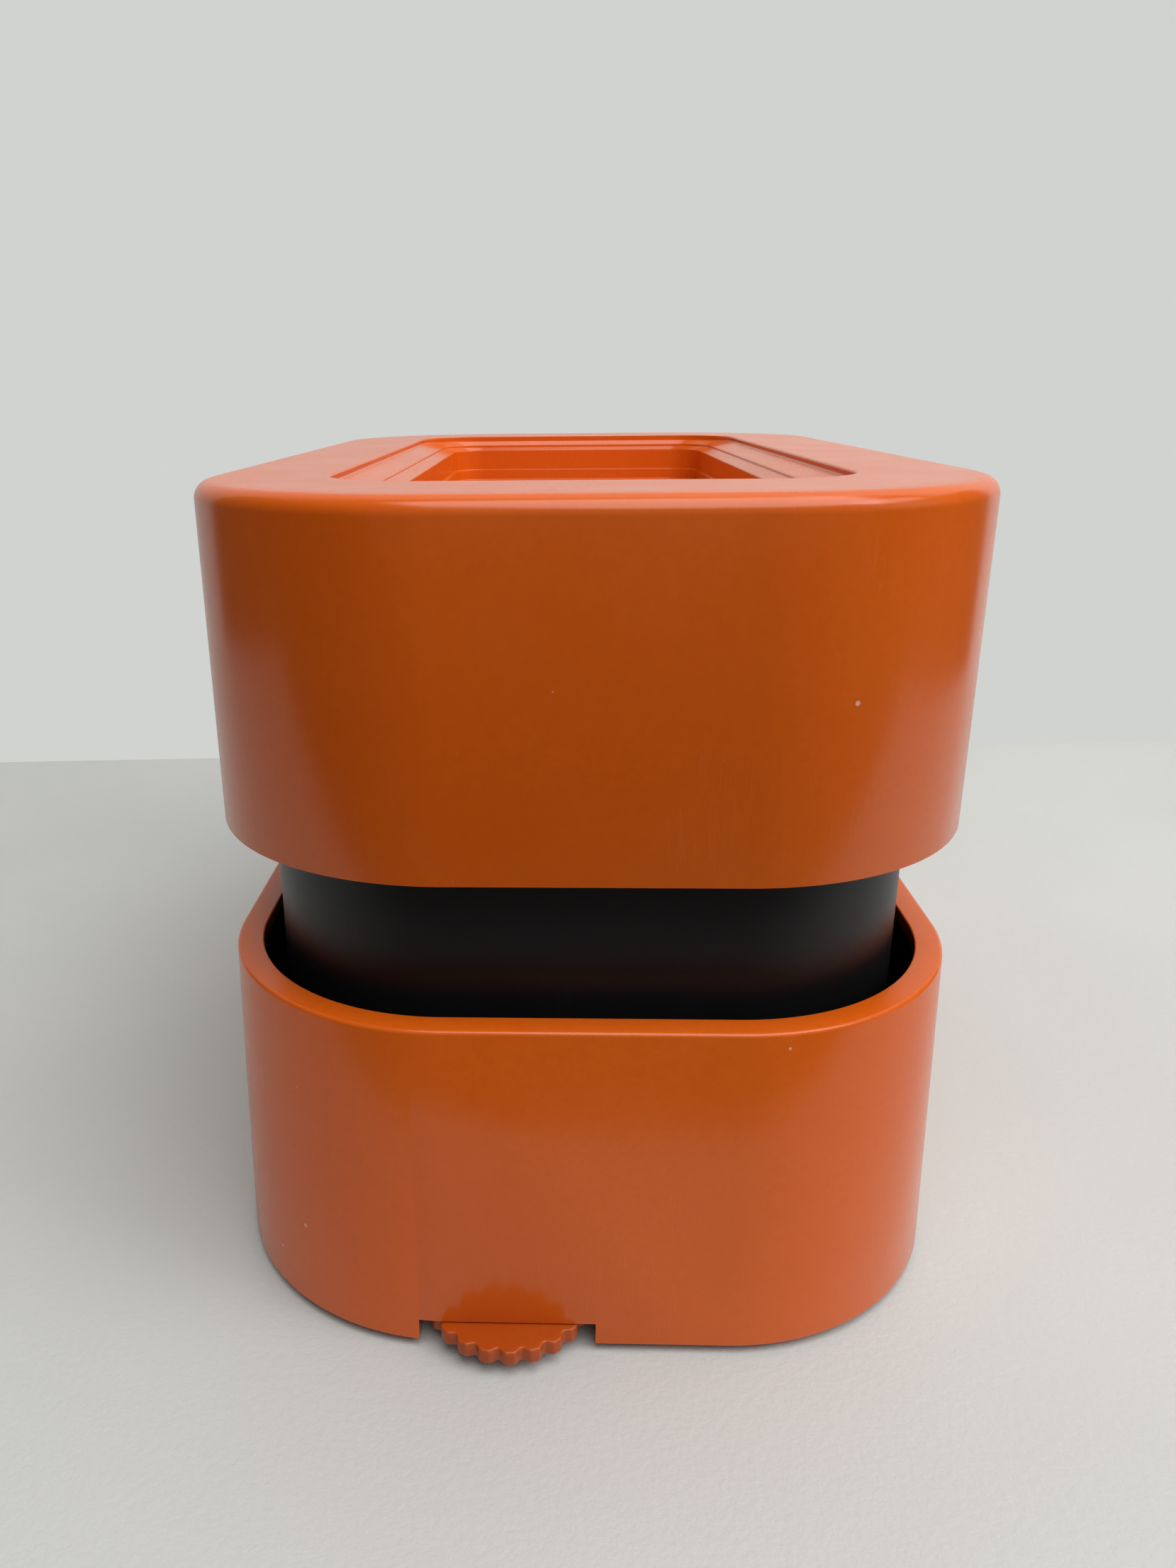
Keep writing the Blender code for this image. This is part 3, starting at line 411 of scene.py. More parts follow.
def moulded_plastic(name, colour, pale, roughness, gloss, dust, wear):
    """Glossy moulded plastic that has been handled: faint flow, smears, hairline scratches and dust."""
    n = Nodes(name)
    shader = n.shader
    flow = n.noise(28.0, 4.0, 0.55)
    grain = n.noise(900.0, 2.0, 0.6)
    toned = n.mix(n.band(flow, 0.3, 0.7, 0.0, 0.16), colour, pale)
    deep = (colour[0] * 0.55, colour[1] * 0.5, colour[2] * 0.5, 1)
    toned = n.mix(n.band(grain, 0.35, 0.65, 0.0, 0.07), toned, deep)
    long_marks = n.scratches((0.3, 0.5, 0.9), 900.0, 0.012)
    cross_marks = n.scratches((1.2, 0.2, -0.6), 700.0, 0.01)
    marks = n.math("MAXIMUM", long_marks, cross_marks)
    motes = n.math("MAXIMUM", n.specks(210.0, 0.085, 0.10), n.specks(75.0, 0.05, 0.14))
    worn = n.math("MULTIPLY", n.edge_wear(0.0005, 0.86, 0.99), wear)
    toned = n.mix(n.math("MULTIPLY", marks, 0.1), toned, pale)
    toned = n.mix(n.math("MULTIPLY", motes, dust), toned, (0.72, 0.66, 0.6, 1.0))
    toned = n.mix(worn, toned, pale)
    n.link(toned, shader.inputs["Base Color"])
    smear = n.noise(60.0, 5.0, 0.6)
    rough = n.band(smear, 0.25, 0.75, roughness - 0.02, roughness + 0.03)
    rough = n.math("ADD", rough, n.math("MULTIPLY", motes, 0.3))
    n.link(n.math("ADD", rough, n.math("MULTIPLY", marks, 0.08)), shader.inputs["Roughness"])
    skin_bump = n.bump(n.noise(420.0, 2.0, 0.5), 0.015, 0.0001)
    n.link(n.bump(marks, 0.05, -0.00003, skin_bump), shader.inputs["Normal"])
    shader.inputs["IOR"].default_value = 1.47
    shader.inputs["Specular IOR Level"].default_value = gloss
    return n.material


def metal(name, colour, roughness):
    """Plated or turned metal: brushed along one way, with cloudy patches and tarnish."""
    n = Nodes(name)
    shader = n.shader
    lines = n.noise(1.0, 3.0, 0.6, n.stretch((3500.0, 90.0, 3500.0)))
    cloud = n.noise(150.0, 4.0, 0.6)
    dark = (colour[0] * 0.62, colour[1] * 0.6, colour[2] * 0.56, 1.0)
    toned = n.mix(n.band(cloud, 0.4, 0.75, 0.0, 0.5), colour, dark)
    toned = n.mix(n.math("MULTIPLY", n.specks(420.0, 0.12, 0.08), 0.6), toned, (0.12, 0.07, 0.04, 1))
    n.link(toned, shader.inputs["Base Color"])
    shader.inputs["Metallic"].default_value = 1.0
    uneven = n.math("ADD", lines, n.math("MULTIPLY", cloud, 0.5))
    n.link(n.band(uneven, 0.4, 1.1, roughness - 0.1, roughness + 0.16), shader.inputs["Roughness"])
    n.link(n.bump(lines, 0.18, 0.00003), shader.inputs["Normal"])
    return n.material


def rubber():
    """Dark rubber with a fine grain and some pale grit."""
    n = Nodes("rubber")
    shader = n.shader
    fine = n.noise(1400.0, 3.0, 0.7)
    toned = n.mix(n.band(n.noise(120.0), 0.35, 0.7), (0.022, 0.022, 0.023, 1), (0.06, 0.058, 0.055, 1))
    toned = n.mix(n.math("MULTIPLY", n.specks(400.0, 0.16, 0.12), 0.5), toned, (0.3, 0.28, 0.25, 1))
    n.link(toned, shader.inputs["Base Color"])
    n.link(n.band(fine, 0.3, 0.7, 0.72, 0.92), shader.inputs["Roughness"])
    n.link(n.bump(fine, 0.35, 0.0001), shader.inputs["Normal"])
    return n.material


def clear_lens():
    """Clear acrylic with faint smears and hairlines."""
    n = Nodes("clear_lens")
    shader = n.shader
    shader.inputs["Transmission Weight"].default_value = 1.0
    shader.inputs["IOR"].default_value = 1.49
    smear = n.noise(90.0, 4.0, 0.6)
    tint = n.mix(n.band(smear, 0.4, 0.7), (0.97, 0.985, 0.99, 1), (0.93, 0.95, 0.95, 1))
    n.link(tint, shader.inputs["Base Color"])
    n.link(n.band(smear, 0.45, 0.75, 0.02, 0.1), shader.inputs["Roughness"])
    n.link(n.bump(n.scratches((0.4, 0.3, 0.2), 900.0, 0.01), 0.1, 0.00004), shader.inputs["Normal"])
    return n.material


def printed_drum():
    """Off-white plastic that has yellowed a little, with a fine moulded grain."""
    n = Nodes("printed_drum")
    shader = n.shader
    age = n.noise(70.0, 4.0, 0.6)
    toned = n.mix(n.band(age, 0.3, 0.75), (0.93, 0.91, 0.85, 1), (0.88, 0.84, 0.74, 1))
    toned = n.mix(n.math("MULTIPLY", n.specks(380.0, 0.12, 0.08), 0.5), toned, (0.35, 0.28, 0.2, 1))
    n.link(toned, shader.inputs["Base Color"])
    n.link(n.band(n.noise(300.0), 0.3, 0.7, 0.42, 0.6), shader.inputs["Roughness"])
    n.link(n.bump(n.noise(1800.0, 2.0), 0.12, 0.00005), shader.inputs["Normal"])
    return n.material


def ink(name, colour):
    """Printed or brushed-on paint, slightly uneven."""
    n = Nodes(name)
    shader = n.shader
    patch = n.noise(800.0, 4.0, 0.7)
    thin = tuple(min(1.0, c + 0.06) for c in colour[:3]) + (1.0,)
    n.link(n.mix(n.band(patch, 0.4, 0.75), colour, thin), shader.inputs["Base Color"])
    n.link(n.band(patch, 0.3, 0.7, 0.38, 0.55), shader.inputs["Roughness"])
    n.link(n.bump(patch, 0.1, 0.00003), shader.inputs["Normal"])
    return n.material


def dark_cloth():
    """Black, for painted shade: the dark gap between table and wall, and the hidden sheets that darken what
    the object reflects.
    """
    n = Nodes("dark_cloth")
    toned = n.mix(n.noise(40.0), (0.012, 0.012, 0.013, 1), (0.02, 0.02, 0.02, 1))
    n.link(toned, n.shader.inputs["Base Color"])
    n.shader.inputs["Roughness"].default_value = 0.9
    return n.material


def pale_surface(name, patches, darker, lighter, roughness, bumps):
    """A cloudy pale surface. bumps is (its noise, strength, distance)."""
    n = Nodes(name)
    cloud = n.band(n.noise(patches), 0.3, 0.7)
    n.link(n.mix(cloud, darker, lighter), n.shader.inputs["Base Color"])
    n.shader.inputs["Roughness"].default_value = roughness
    grain, strength, distance = bumps
    n.link(n.bump(n.noise(*grain), strength, distance), n.shader.inputs["Normal"])
    return n.material


ORANGE = moulded_plastic(
    "orange_abs", (0.62, 0.096, 0.003, 1), (0.70, 0.17, 0.03, 1), 0.2, gloss=0.45, dust=0.5, wear=0.15
)
# Painted shade: the wheel is the shells' orange plastic, with its colour darkened for the shade it sits in at
# the foot of the base. Its dust and rubbed edges are its own.
SHADED_WHEEL_ORANGE = moulded_plastic(
    "wheel_abs_shaded", (0.35, 0.052, 0.003, 1), (0.60, 0.16, 0.04, 1), 0.3, gloss=0.4, dust=0.7, wear=0.4
)
BLACK = moulded_plastic(
    "black_abs", (0.006, 0.006, 0.0065, 1), (0.020, 0.021, 0.022, 1), 0.38, gloss=0.3, dust=0.2, wear=0.2
)
ZINC = metal("zinc", (0.60, 0.60, 0.57, 1), 0.36)
BRASS = metal("brass", (0.66, 0.46, 0.17, 1), 0.32)
RUBBER = rubber()
LENS = clear_lens()
DRUM = printed_drum()
BLACK_INK = ink("black_ink", (0.02, 0.02, 0.022, 1))
RED_PAINT = ink("red_paint", (0.55, 0.025, 0.015, 1))


# --- Stage ---


def stage():
    """A table that ends at a wall. The camera sees the room's pale light in place of the wall."""
    wall_foot, gap, wall_turn = CENTRE_Y + 184.0, 1.3, math.atan(0.067)
    table = block("table_top", (-1500, -1700, -20), (1500, -gap, 0))
    wall = block("wall", (-1500, 0, -20), (1500, 20, 1600))
    # Painted shade: a dark block down in the gap between table and wall, so that the gap shows as a dark
    # line.
    gap_shade = block("gap_shade", (-1500, -gap, -8), (1500, 0, -2))
    for obj in (table, wall, gap_shade):
        obj.rotation_euler.z = wall_turn
        obj.location = (0, wall_foot * MM, 0)
    wall.visible_camera = False
    wall.visible_shadow = False
    table_grain = ((900.0, 3.0, 0.6), 0.3, 0.0004)
    table_paint = pale_surface("table", 9.0, (0.49, 0.50, 0.485, 1), (0.52, 0.525, 0.51, 1), 0.5, table_grain)
    table.data.materials.append(table_paint)
    wall_grain = ((350.0, 3.0), 0.1, 0.0005)
    wall_paint = pale_surface(
        "wall_paint", 5.0, (0.71, 0.73, 0.71, 1), (0.74, 0.755, 0.735, 1), 0.75, wall_grain
    )
    wall.data.materials.append(wall_paint)
    gap_shade.data.materials.append(dark_cloth())


def photographed_from():
    """The camera, at the photograph's place and angle."""
    camera = bpy.data.objects.new("camera", bpy.data.cameras.new("camera"))
    bpy.context.scene.collection.objects.link(camera)
    yaw, pitch, roll = (math.radians(a) for a in (-2.12, 19.52, 0.5735))
    ahead = Vector((math.sin(yaw) * math.cos(pitch), math.cos(yaw) * math.cos(pitch), -math.sin(pitch)))
    level = Vector((math.cos(yaw), -math.sin(yaw), 0.0))
    down = ahead.cross(level)
    right = level * math.cos(roll) + down * math.sin(roll)
    up = level * math.sin(roll) - down * math.cos(roll)
    place = Vector((-4.33, CENTRE_Y - 206.78, FOOT_Z + 119.44)) * MM
    turn = Matrix((right, up, -ahead)).transposed().to_4x4()
    camera.matrix_world = Matrix.Translation(place) @ turn
    camera.data.sensor_width = 36.0
    camera.data.lens = 26.56
    camera.data.shift_x = 0.0464
    camera.data.shift_y = 0.0092
    camera.data.clip_start = 0.01
    bpy.context.scene.camera = camera


def area_light(name, place, target, size, power, colour):
    data = bpy.data.lights.new(name, "AREA")
    data.shape = "RECTANGLE"
    data.size, data.size_y = size
    data.energy = power
    data.color = colour
    light = bpy.data.objects.new(name, data)
    bpy.context.scene.collection.objects.link(light)
    light.location = place
    light.rotation_euler = (Vector(target) - Vector(place)).to_track_quat("-Z", "Y").to_euler()


def dark_cards():
    """Painted shade: dark sheets that stand in for the shaded table in front and the dim room at the sides.
    They keep what the object reflects in front and at the sides dark, and the floor card also cuts the light
    bounced up at it. The camera doesn't see them.
    """
    shade_black = dark_cloth()
    floor_card = block("floor_card", (-1500, -1500, 0.3), (1500, CENTRE_Y - 145, 0.8))
    left_card = block("left_card", (-420, -700, 1), (-410, 160, 500))
    right_card = block("right_card", (330, -300, 1), (340, 160, 300))
    for card in (floor_card, left_card, right_card):
        card.data.materials.append(shade_black)
        card.visible_camera = False
        card.visible_shadow = False
    left_card.visible_diffuse = False
    right_card.visible_diffuse = False


def lights():
    """A dim room, which the camera sees as flat pale grey, with a soft light above and one at the right."""
    world = bpy.data.worlds.new("room")
    world.use_nodes = True
    tree = world.node_tree
    background = tree.nodes["Background"]
    background.inputs["Color"].default_value = (0.86, 0.90, 0.92, 1)
    background.inputs["Strength"].default_value = 0.2
    seen = tree.nodes.new("ShaderNodeBackground")
    seen.inputs["Color"].default_value = (0.64, 0.65, 0.63, 1)
    seen.inputs["Strength"].default_value = 1.0
    path = tree.nodes.new("ShaderNodeLightPath")
    either = tree.nodes.new("ShaderNodeMixShader")
    tree.links.new(path.outputs["Is Camera Ray"], either.inputs[0])
    tree.links.new(background.outputs[0], either.inputs[1])
    tree.links.new(seen.outputs[0], either.inputs[2])
    tree.links.new(either.outputs[0], tree.nodes["World Output"].inputs["Surface"])
    bpy.context.scene.world = world
    bpy.context.scene.view_settings.view_transform = "Standard"
    area_light("ceiling", (0.33, -0.5, 1.2), (-0.05, 0.1, 0.1), (1.3, 1.2), 20.0, (1.0, 0.99, 0.98))
    area_light("window", (1.3, -0.4, 0.8), (0, 0, 0.08), (0.8, 1.0), 6.0, (0.97, 0.99, 1.0))


# --- Pieces ---


def base_shell():
    """Drafted wall, rounded foot and rim edges, then the notch for the wheel and the window."""
    wall = 2.1
    rim_width = 3.65
    lip = 2.0
    height = RIM_Z - FOOT_Z
    profile = rounded(
        [
            (wall - FLARE, FOOT_Z, 0.0),
            (-FLARE, FOOT_Z, 0.35),
            (0.0, RIM_Z, 0.55),
            (rim_width, RIM_Z, 0.25),
            (rim_width, RIM_Z - lip, 0.0),
        ],
        6,
    )
    profile += [(wall - 0.05, RIM_Z - lip)]
    profile += [(wall - FLARE * 0.8, FOOT_Z + height * 0.2)]
    shell = skin("base_shell_smooth", [(RIM, inset, z) for inset, z in profile], closed=True)
    notch_low = (WHEEL_CENTRE.x - NOTCH_HALF, BASE_LOW.y - 8, -5)
    notch_high = (WHEEL_CENTRE.x + NOTCH_HALF, BASE_LOW.y + 9, NOTCH_TOP)
    window = window_block("window", WINDOW_GAP, WINDOW_CORNER, WINDOW_CUT_X)
    cut(shell, block("notch", notch_low, notch_high), window)
    soften(shell, 0.16, 2, 50)
    return dress(smooth(shell), ORANGE, "base", "orange_abs", "base_shell")


def window_block(name, grow, corner, x_range):
    """A round-cornered block along X, the bezel's outline grown by grow all round."""
    middle = (WINDOW_LOW + WINDOW_HIGH) / 2
    half = (WINDOW_HIGH - WINDOW_LOW) / 2
    shape = (half.y + grow, half.z + grow, corner, 1.0)
    points = [(middle.y + y, middle.z + z) for y, z in outline(shape, 0.0, 12)]
    return extruded(name, points, *x_range, axis="X")


def inner_liner():
    """The black lining just inside the rim, cut away behind the window."""
    low, high = edges("inner_liner")
    outer, inner = 2.4, 3.65
    section = [(inner, low.z), (outer, low.z), (outer, high.z), (inner, high.z)]
    liner = skin("inner_liner_smooth", [(RIM, inset, z) for inset, z in section], closed=True)
    cut(liner, window_block("liner_window", 1.8, WINDOW_CORNER, WINDOW_CUT_X))
    return dress(smooth(liner), BLACK, "base", "black_abs", "inner_liner")


def load_carrier():
    """The black body: skirt, shoulder, and the stepped plateau that locates the turned-over bowl."""
    clearance, wall, shoulder = 0.6, 2.4, 90.5
    top = CARRIER_HIGH.z
    skirt = rounded([(0.0, CARRIER_LOW.z, 0.0), (0.0, shoulder, 1.2), (6.0, shoulder, 0.0)], 6)
    levels = [(0.0, 1.1, 1.1), (4.3, 2.5, 2.5), (6.5, 6.8, 6.8), (7.3, top - shoulder, top - shoulder)]
    plateau = rounded(recess_path(levels, shoulder, 1, clearance - 1.5, 12.0, clearance), 4)
    sections = [(CARRIER, inset, z) for inset, z in skirt]
    sections += [(RECESS, inset, z) for inset, z in plateau]
    inner = 7.3 + clearance + wall
    within = (RECESS[0], RECESS[1] - 2.0, *RECESS[2:])
    sections_inside = [
        (within, 14.0, top - wall),
        (within, inner, top - wall),
        (within, inner, shoulder - wall),
        (CARRIER, wall, shoulder - wall),
        (CARRIER, wall, CARRIER_LOW.z),
    ]
    body = shell_of("load_carrier_smooth", sections, sections_inside)
    notch_half, notch_top = 22, 46.0
    notch_low = (-50, CENTRE_Y - notch_half, 20)
    cut(body, block("drum_notch", notch_low, (-38, CENTRE_Y + notch_half, notch_top)))
    soften(body, 0.2, 2, 50)
    return dress(smooth(body), BLACK, "carrier", "black_abs", "load_carrier")


def cover_bowl():
    """The bowl, upside down: wall, top edge, flat margin, and a recess with two sloping ledges."""
    wall, ceiling, skin_depth = 3.0, 2.6, 2.4
    crown = rounded([(0.0, MOUTH_Z, 0.0), (0.0, TOP_Z, 2.2), (6.0, TOP_Z, 0.0)], 12)
    levels = [
        (0.0, 1.0, 1.85),
        (4.3, 2.25, 3.0),
        (6.4, 7.0, 7.15),
        (6.9, RECESS_DEPTH, RECESS_DEPTH),
    ]
    recess = rounded(recess_path(levels, TOP_Z, -1, -1.5, 12.0), 5)
    outside = [(COVER, inset, z) for inset, z in crown]
    outside += [(RECESS, inset, z) for inset, z in recess]
    behind = (RECESS[0], RECESS[1] + 2.0, *RECESS[2:])
    floor_z = TOP_Z - RECESS_DEPTH - skin_depth
    inside = [
        (behind, 11.0, floor_z),
        (behind, 7.3 - skin_depth, floor_z),
        (behind, 6.5 - skin_depth, TOP_Z - 7.1 - skin_depth),
        (behind, 4.3 - skin_depth, TOP_Z - 2.8 - skin_depth),
        (behind, -skin_depth, TOP_Z - ceiling - 1.0),
        (behind, -skin_depth - 0.6, TOP_Z - ceiling),
    ]
    under = rounded([(8.0, TOP_Z - ceiling, 0.0), (wall, TOP_Z - ceiling, 1.5), (wall, MOUTH_Z, 0.0)], 6)
    inside += [(COVER, inset, z) for inset, z in under]
    bowl = shell_of("cover_bowl_smooth", outside, inside)
    soften(bowl, 0.3, 3, 60)
    return dress(smooth(bowl), ORANGE, "cover", "orange_abs", "cover_bowl")


def lobed_outline(centre, radius, shrink, per_lobe=30):
    """Round-shouldered lobes with hollows between them."""
    lobes, depth, shoulder, lobe_turn = 21, 0.75, 0.25, 3.0
    points = []
    for step in range(lobes * per_lobe):
        off_lobe = abs((step % per_lobe) - per_lobe / 2) * 2 / per_lobe
        fall = max(0.0, (off_lobe - shoulder) / (1 - shoulder))
        reach = radius - shrink - depth * (0.5 - 0.5 * math.cos(math.pi * fall))
        angle = math.radians(360 * (step / per_lobe - 0.5) / lobes + lobe_turn)
        points.append((centre.x + reach * math.sin(angle), centre.y - reach * math.cos(angle)))
    return points


def zero_wheel():
    """A flat thumb wheel with softened lobes, on a neck and a collar that turns on the bottom plate."""
    low, high, edge = WHEEL_LOW.z, NOTCH_TOP - 0.25, 0.22
    neck, collar, collar_low = 2.5, 3.6, 7.2
    profile = rounded([(1.2, low, 0.0), (0.0, low, edge), (0.0, high, edge), (1.2, high, 0.0)], 4)
    bm = bmesh.new()
    rings = []
    for shrink, z in profile:
        points = lobed_outline(WHEEL_CENTRE, WHEEL_R, shrink)
        rings.append([bm.verts.new((x, y, z)) for x, y in points])
    join_rings(bm, rings)
    wheel = mesh_object("zero_wheel_smooth", bm)
    place = (WHEEL_CENTRE.x, WHEEL_CENTRE.y, 0)
    stem = [(neck, high - 0.5), (neck, collar_low), (collar, collar_low), (collar, WHEEL_HIGH.z)]
    joined(wheel, turned("wheel_stem", place, stem))
    cut(wheel, turned("wheel_bore", place, [(1.8, low + 0.65), (1.8, 20)], 32))
    return dress(smooth(wheel, 50), SHADED_WHEEL_ORANGE, "zero_wheel", "orange_abs", "zero_wheel")


def window_bezel():
    """The black frame that holds the lens in the window."""
    corner = WINDOW_CORNER - WINDOW_GAP
    bezel = window_block("window_bezel_smooth", 0.0, corner, (WINDOW_LOW.x, WINDOW_HIGH.x))
    cut(bezel, window_block("bezel_opening", -BEZEL_BORDER, 0.6, WINDOW_CUT_X))
    soften(bezel, 0.3, 3, 50)
    return dress(smooth(bezel, 40), BLACK, "base", "black_abs", "window_bezel")


def magnifier_lens():
    """A bar lens: flat at its back, with a bulge along its front."""
    low, high = edges("magnifier_lens")
    back_x, bulge = high.x, 1.4
    face_x = low.x + bulge
    arc = []
    steps = 40
    for step in range(steps + 1):
        part = 2 * step / steps - 1
        z = (low.z + high.z) / 2 + part * (high.z - low.z) / 2
        arc.append((face_x - bulge * (1 - part * part), z))
    points = [*arc, (back_x, high.z), (back_x, low.z)]
    lens = extruded("magnifier_lens_smooth", points, low.y, high.y, axis="Y")
    soften(lens, 0.15, 2, 50)
    lens.visible_shadow = False
    return dress(smooth(lens, 30), LENS, "base", "clear_acrylic", "magnifier_lens")


def on_drum(along, angle, rise):
    """A point on the dial drum: along Y, at an angle above its -X side, and rise outside its surface."""
    reach = DRUM_R + rise
    return Vector((DRUM_CENTRE.x - reach * math.cos(angle), along, DRUM_CENTRE.z + reach * math.sin(angle)))


def dial_drum():
    """A moulded drum with softened edges, open at its -Y end, with a hub inside."""
    half = (DRUM_HIGH.y - DRUM_LOW.y) / 2
    wall, web_y, hub_y, hub, bore = 1.6, 6.0, 8.0, 3.4, 1.5
    profile = rounded(
        [
            (bore, -half, 0.0),
            (hub, -half, 0.3),
            (hub, web_y, 0.6),
            (DRUM_R - wall, web_y, 0.6),
            (DRUM_R - wall, -half, 0.3),
            (DRUM_R, -half, 0.4),
            (DRUM_R, half, 0.4),
            (bore, half, 0.0),
        ],
        4,
    )
    drum = turned("dial_drum_smooth", DRUM_CENTRE, profile, 160, "Y", closed=True)
    return dress(smooth(drum, 40), DRUM, "dial", "ivory_plastic", "dial_drum")


def weight_angle(grams):
    """Where a weight is printed: below the pointer, so that the load brings it up to the pointer."""
    return -FULL_TURN * grams / FULL_LOAD


def dial_ticks():
    """A raised tick for each 50 g: longer at each 100 g, longest at each 250 g."""
    bm = bmesh.new()
    half_width, start = 0.13, CENTRE_Y + 12.5
    for grams in range(0, FULL_LOAD + 1, TICK_STEP):
        numbered = grams % NUMBER_STEP == 0
        length = 6.5 if numbered else 4.6 if grams % 100 == 0 else 2.8
        spread = half_width * (1.6 if numbered else 1.0) / DRUM_R
        corners = []
        for rise in (-0.1, INK_RISE):
            for along, side in ((start, -1), (start, 1), (start - length, 1), (start - length, -1)):
                corners.append(bm.verts.new(on_drum(along, weight_angle(grams) + side * spread, rise)))
        join_rings(bm, [corners[:4], corners[4:]])
    ticks = mesh_object("dial_ticks", bm)
    return dress(ticks, BLACK_INK, "dial", "ivory_plastic")


def dial_number(grams):
    """A plain number wrapped on to the drum, reading from left to right as seen through the window."""
    text = bpy.data.curves.new(f"number_{grams}", "FONT")
    text.body = str(grams)
    text.size = NUMBER_SIZE
    text.align_x, text.align_y = "CENTER", "CENTER"
    text.extrude = INK_RISE / 2
    text.resolution_u = 6
    holder = bpy.data.objects.new(f"number_{grams}", text)
    bpy.context.scene.collection.objects.link(holder)
    graph = bpy.context.evaluated_depsgraph_get()
    mesh = bpy.data.meshes.new_from_object(holder.evaluated_get(graph))
    bpy.data.objects.remove(holder, do_unlink=True)
    bm = bmesh.new()
    bm.from_mesh(mesh)
    bmesh.ops.remove_doubles(bm, verts=bm.verts, dist=0.001)
    for vert in bm.verts:
        across, up, rise = vert.co
        vert.co = on_drum(CENTRE_Y - 1.0 - across, weight_angle(grams) + up / DRUM_R, INK_RISE + rise)
    return dress(mesh_object(f"dial_number_{grams}", bm), BLACK_INK, "dial", "ivory_plastic")


def index_pointer():
    """The fixed red wire that the dial is read against."""
    low, high = edges("index_pointer")
    middle = (low + high) / 2
    half = (high.y - low.y) / 2
    profile = rounded([(0.05, -half, 0.0), (0.25, -half, 0.15), (0.25, half, 0.15), (0.05, half, 0.0)], 3)
    wire = turned("index_pointer_smooth", middle, profile, 20, "Y")
    return dress(smooth(wire), RED_PAINT, "base", "red_paint", "index_pointer")


def bottom_plate():
    """The plate inside the foot of the base, with cups for the feet and a slot for the wheel's neck."""
    plate_low, plate_high = 4.9, 6.9
    low, high = edges("bottom_plate")
    inset = RIM[0] - (high.x - low.x) / 2
    section = [(4.0, plate_low), (inset, plate_low), (inset, plate_high), (4.0, plate_high)]
    plate = skin("bottom_plate_smooth", [(RIM, step, z) for step, z in section])
    for index in FEET:
        foot_low, foot_high = edges(f"rubber_foot_{index}")
        place = ((foot_low.x + foot_high.x) / 2, (foot_low.y + foot_high.y) / 2, 0)
        foot_r = (foot_high.x - foot_low.x) / 2
        bore, rim, cup_top = foot_r + 0.3, foot_r + 2.0, plate_low + 0.5
        cup = [(bore, low.z), (rim, low.z), (rim, cup_top), (bore, cup_top)]
        joined(plate, turned("cup", place, cup, closed=True))
        cut(plate, turned("well", place, [(bore, 0), (bore, plate_low)]))
        screw_low, screw_high = edges(f"plate_screw_{index}")
        spot = ((screw_low.x + screw_high.x) / 2, (screw_low.y + screw_high.y) / 2, 0)
        cut(plate, turned("hole", spot, [(1.5, 0), (1.5, 12)], 32))
    slot_half = 2.9
    slot_low = (WHEEL_CENTRE.x - slot_half, BASE_LOW.y - 10, 0)
    slot = block("slot", slot_low, (WHEEL_CENTRE.x + slot_half, WHEEL_CENTRE.y, 12))
    slot_centre = (WHEEL_CENTRE.x, WHEEL_CENTRE.y, 0)
    slot_end = turned("slot_end", slot_centre, [(slot_half, 0), (slot_half, 12)], 48)
    cut(plate, slot, slot_end)
    soften(plate, 0.2, 2, 60)
    return dress(smooth(plate, 40), BLACK, "base", "black_abs", "bottom_plate")


def rubber_foot(index):
    """A round foot with a shallow dish underneath."""
    low, high = edges(f"rubber_foot_{index}")
    place = ((low.x + high.x) / 2, (low.y + high.y) / 2, 0)
    radius = (high.x - low.x) / 2
    profile = rounded(
        [
            (1.0, 0.9, 0.0),
            (2.6, 0.9, 0.3),
            (3.1, 0.0, 0.4),
            (radius - 0.7, 0.0, 0.5),
            (radius, 1.0, 0.6),
            (radius, high.z, 0.2),
            (1.0, high.z, 0.0),
        ],
        5,
    )
    foot = turned(f"rubber_foot_{index}_smooth", place, profile, 72)
    return dress(smooth(foot, 50), RUBBER, "base", "grey_rubber", f"rubber_foot_{index}")


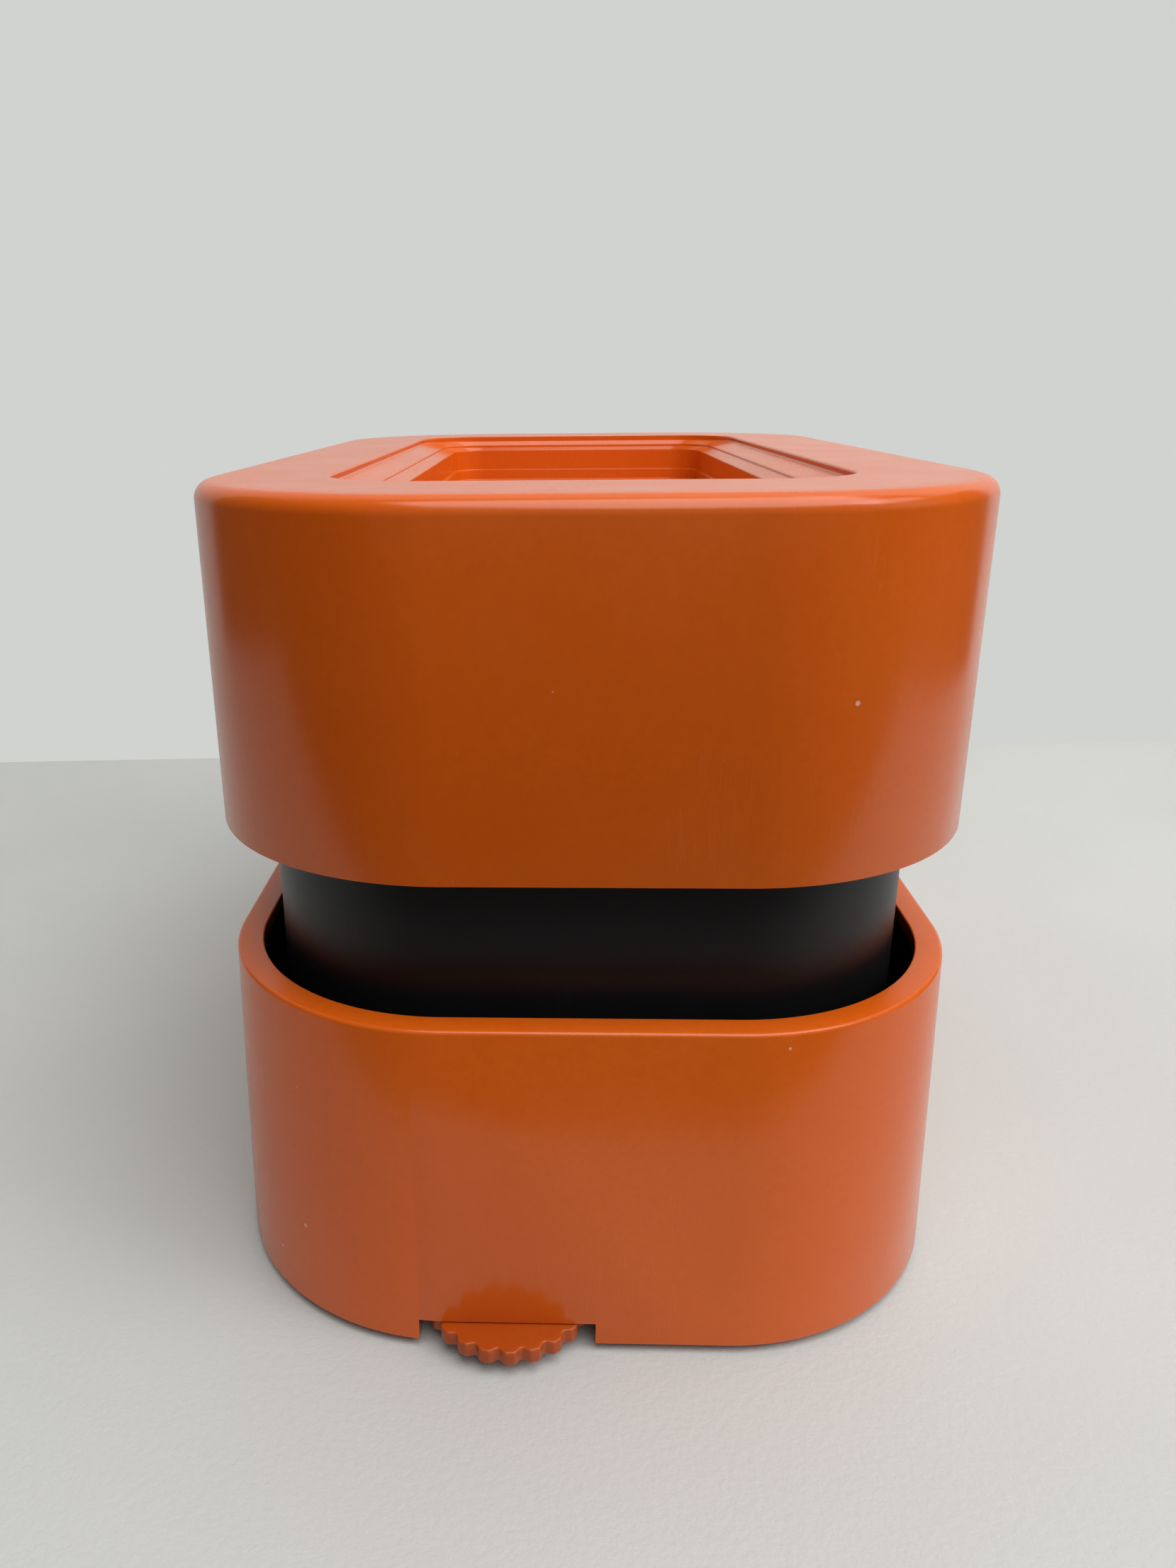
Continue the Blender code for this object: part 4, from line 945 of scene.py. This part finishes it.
def plate_screw(index):
    """A pan-head screw with a cross recess, head down, with its thread's ridges on the shank."""
    low, high = edges(f"plate_screw_{index}")
    place = ((low.x + high.x) / 2, (low.y + high.y) / 2, 0)
    head_r, head_top, shank_r, thread_pitch = (high.x - low.x) / 2, low.z + 1.6, 1.1, 0.8
    head = [
        (0.2, low.z, 0.0),
        (head_r - 0.3, low.z + 0.1, 1.0),
        (head_r, head_top, 0.2),
        (shank_r, head_top, 0.0),
    ]
    profile = rounded(head, 6)
    z = head_top + 0.4
    while z + thread_pitch < high.z - 0.6:
        profile += [(shank_r - 0.22, z), (shank_r, z + thread_pitch / 2)]
        z += thread_pitch
    profile += [(shank_r - 0.22, z), (0.2, high.z)]
    screw = turned(f"plate_screw_{index}_smooth", place, profile, 48)
    depth, reach, half = 0.9, 1.6, 0.28
    x, y, _ = place
    cut(screw, block("cross_x", (x - reach, y - half, low.z - 1), (x + reach, y + half, low.z + depth)))
    cut(screw, block("cross_y", (x - half, y - reach, low.z - 1), (x + half, y + reach, low.z + depth)))
    return dress(smooth(screw, 35), ZINC, "base", "zinc_steel", f"plate_screw_{index}")


NODE_LOOKS = {
    ZINC: [
        "chassis_frame", "lower_arm", "upper_arm", "carrier_bracket", "rack_bar", "drum_bracket",
        "drum_shaft", "lower_fixed_pin", "upper_fixed_pin", "lower_carrier_pin", "upper_carrier_pin",
        "main_spring", "zero_lever", "lever_bracket", "lever_pin", "zero_screw",
        *[f"deck_screw_{i}" for i in range(1, 7)],
        *[f"carrier_screw_{i}" for i in range(1, 4)],
    ],
    BRASS: ["pinion", "zero_nut"],
    BLACK: ["spring_seat"],
    RUBBER: ["overload_stop_1", "overload_stop_2"],
}


def dress_frame():
    """Gives the CAD nodes that stay in view their materials."""
    for material, names in NODE_LOOKS.items():
        for name in names:
            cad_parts[name].material_slots[0].material = material


stage()
photographed_from()
dark_cards()
lights()
base_shell()
inner_liner()
load_carrier()
cover_bowl()
zero_wheel()
window_bezel()
magnifier_lens()
dial_drum()
dial_ticks()
for grams in range(0, FULL_LOAD, NUMBER_STEP):
    dial_number(grams)
index_pointer()
bottom_plate()
for index in FEET:
    rubber_foot(index)
    plate_screw(index)
dress_frame()
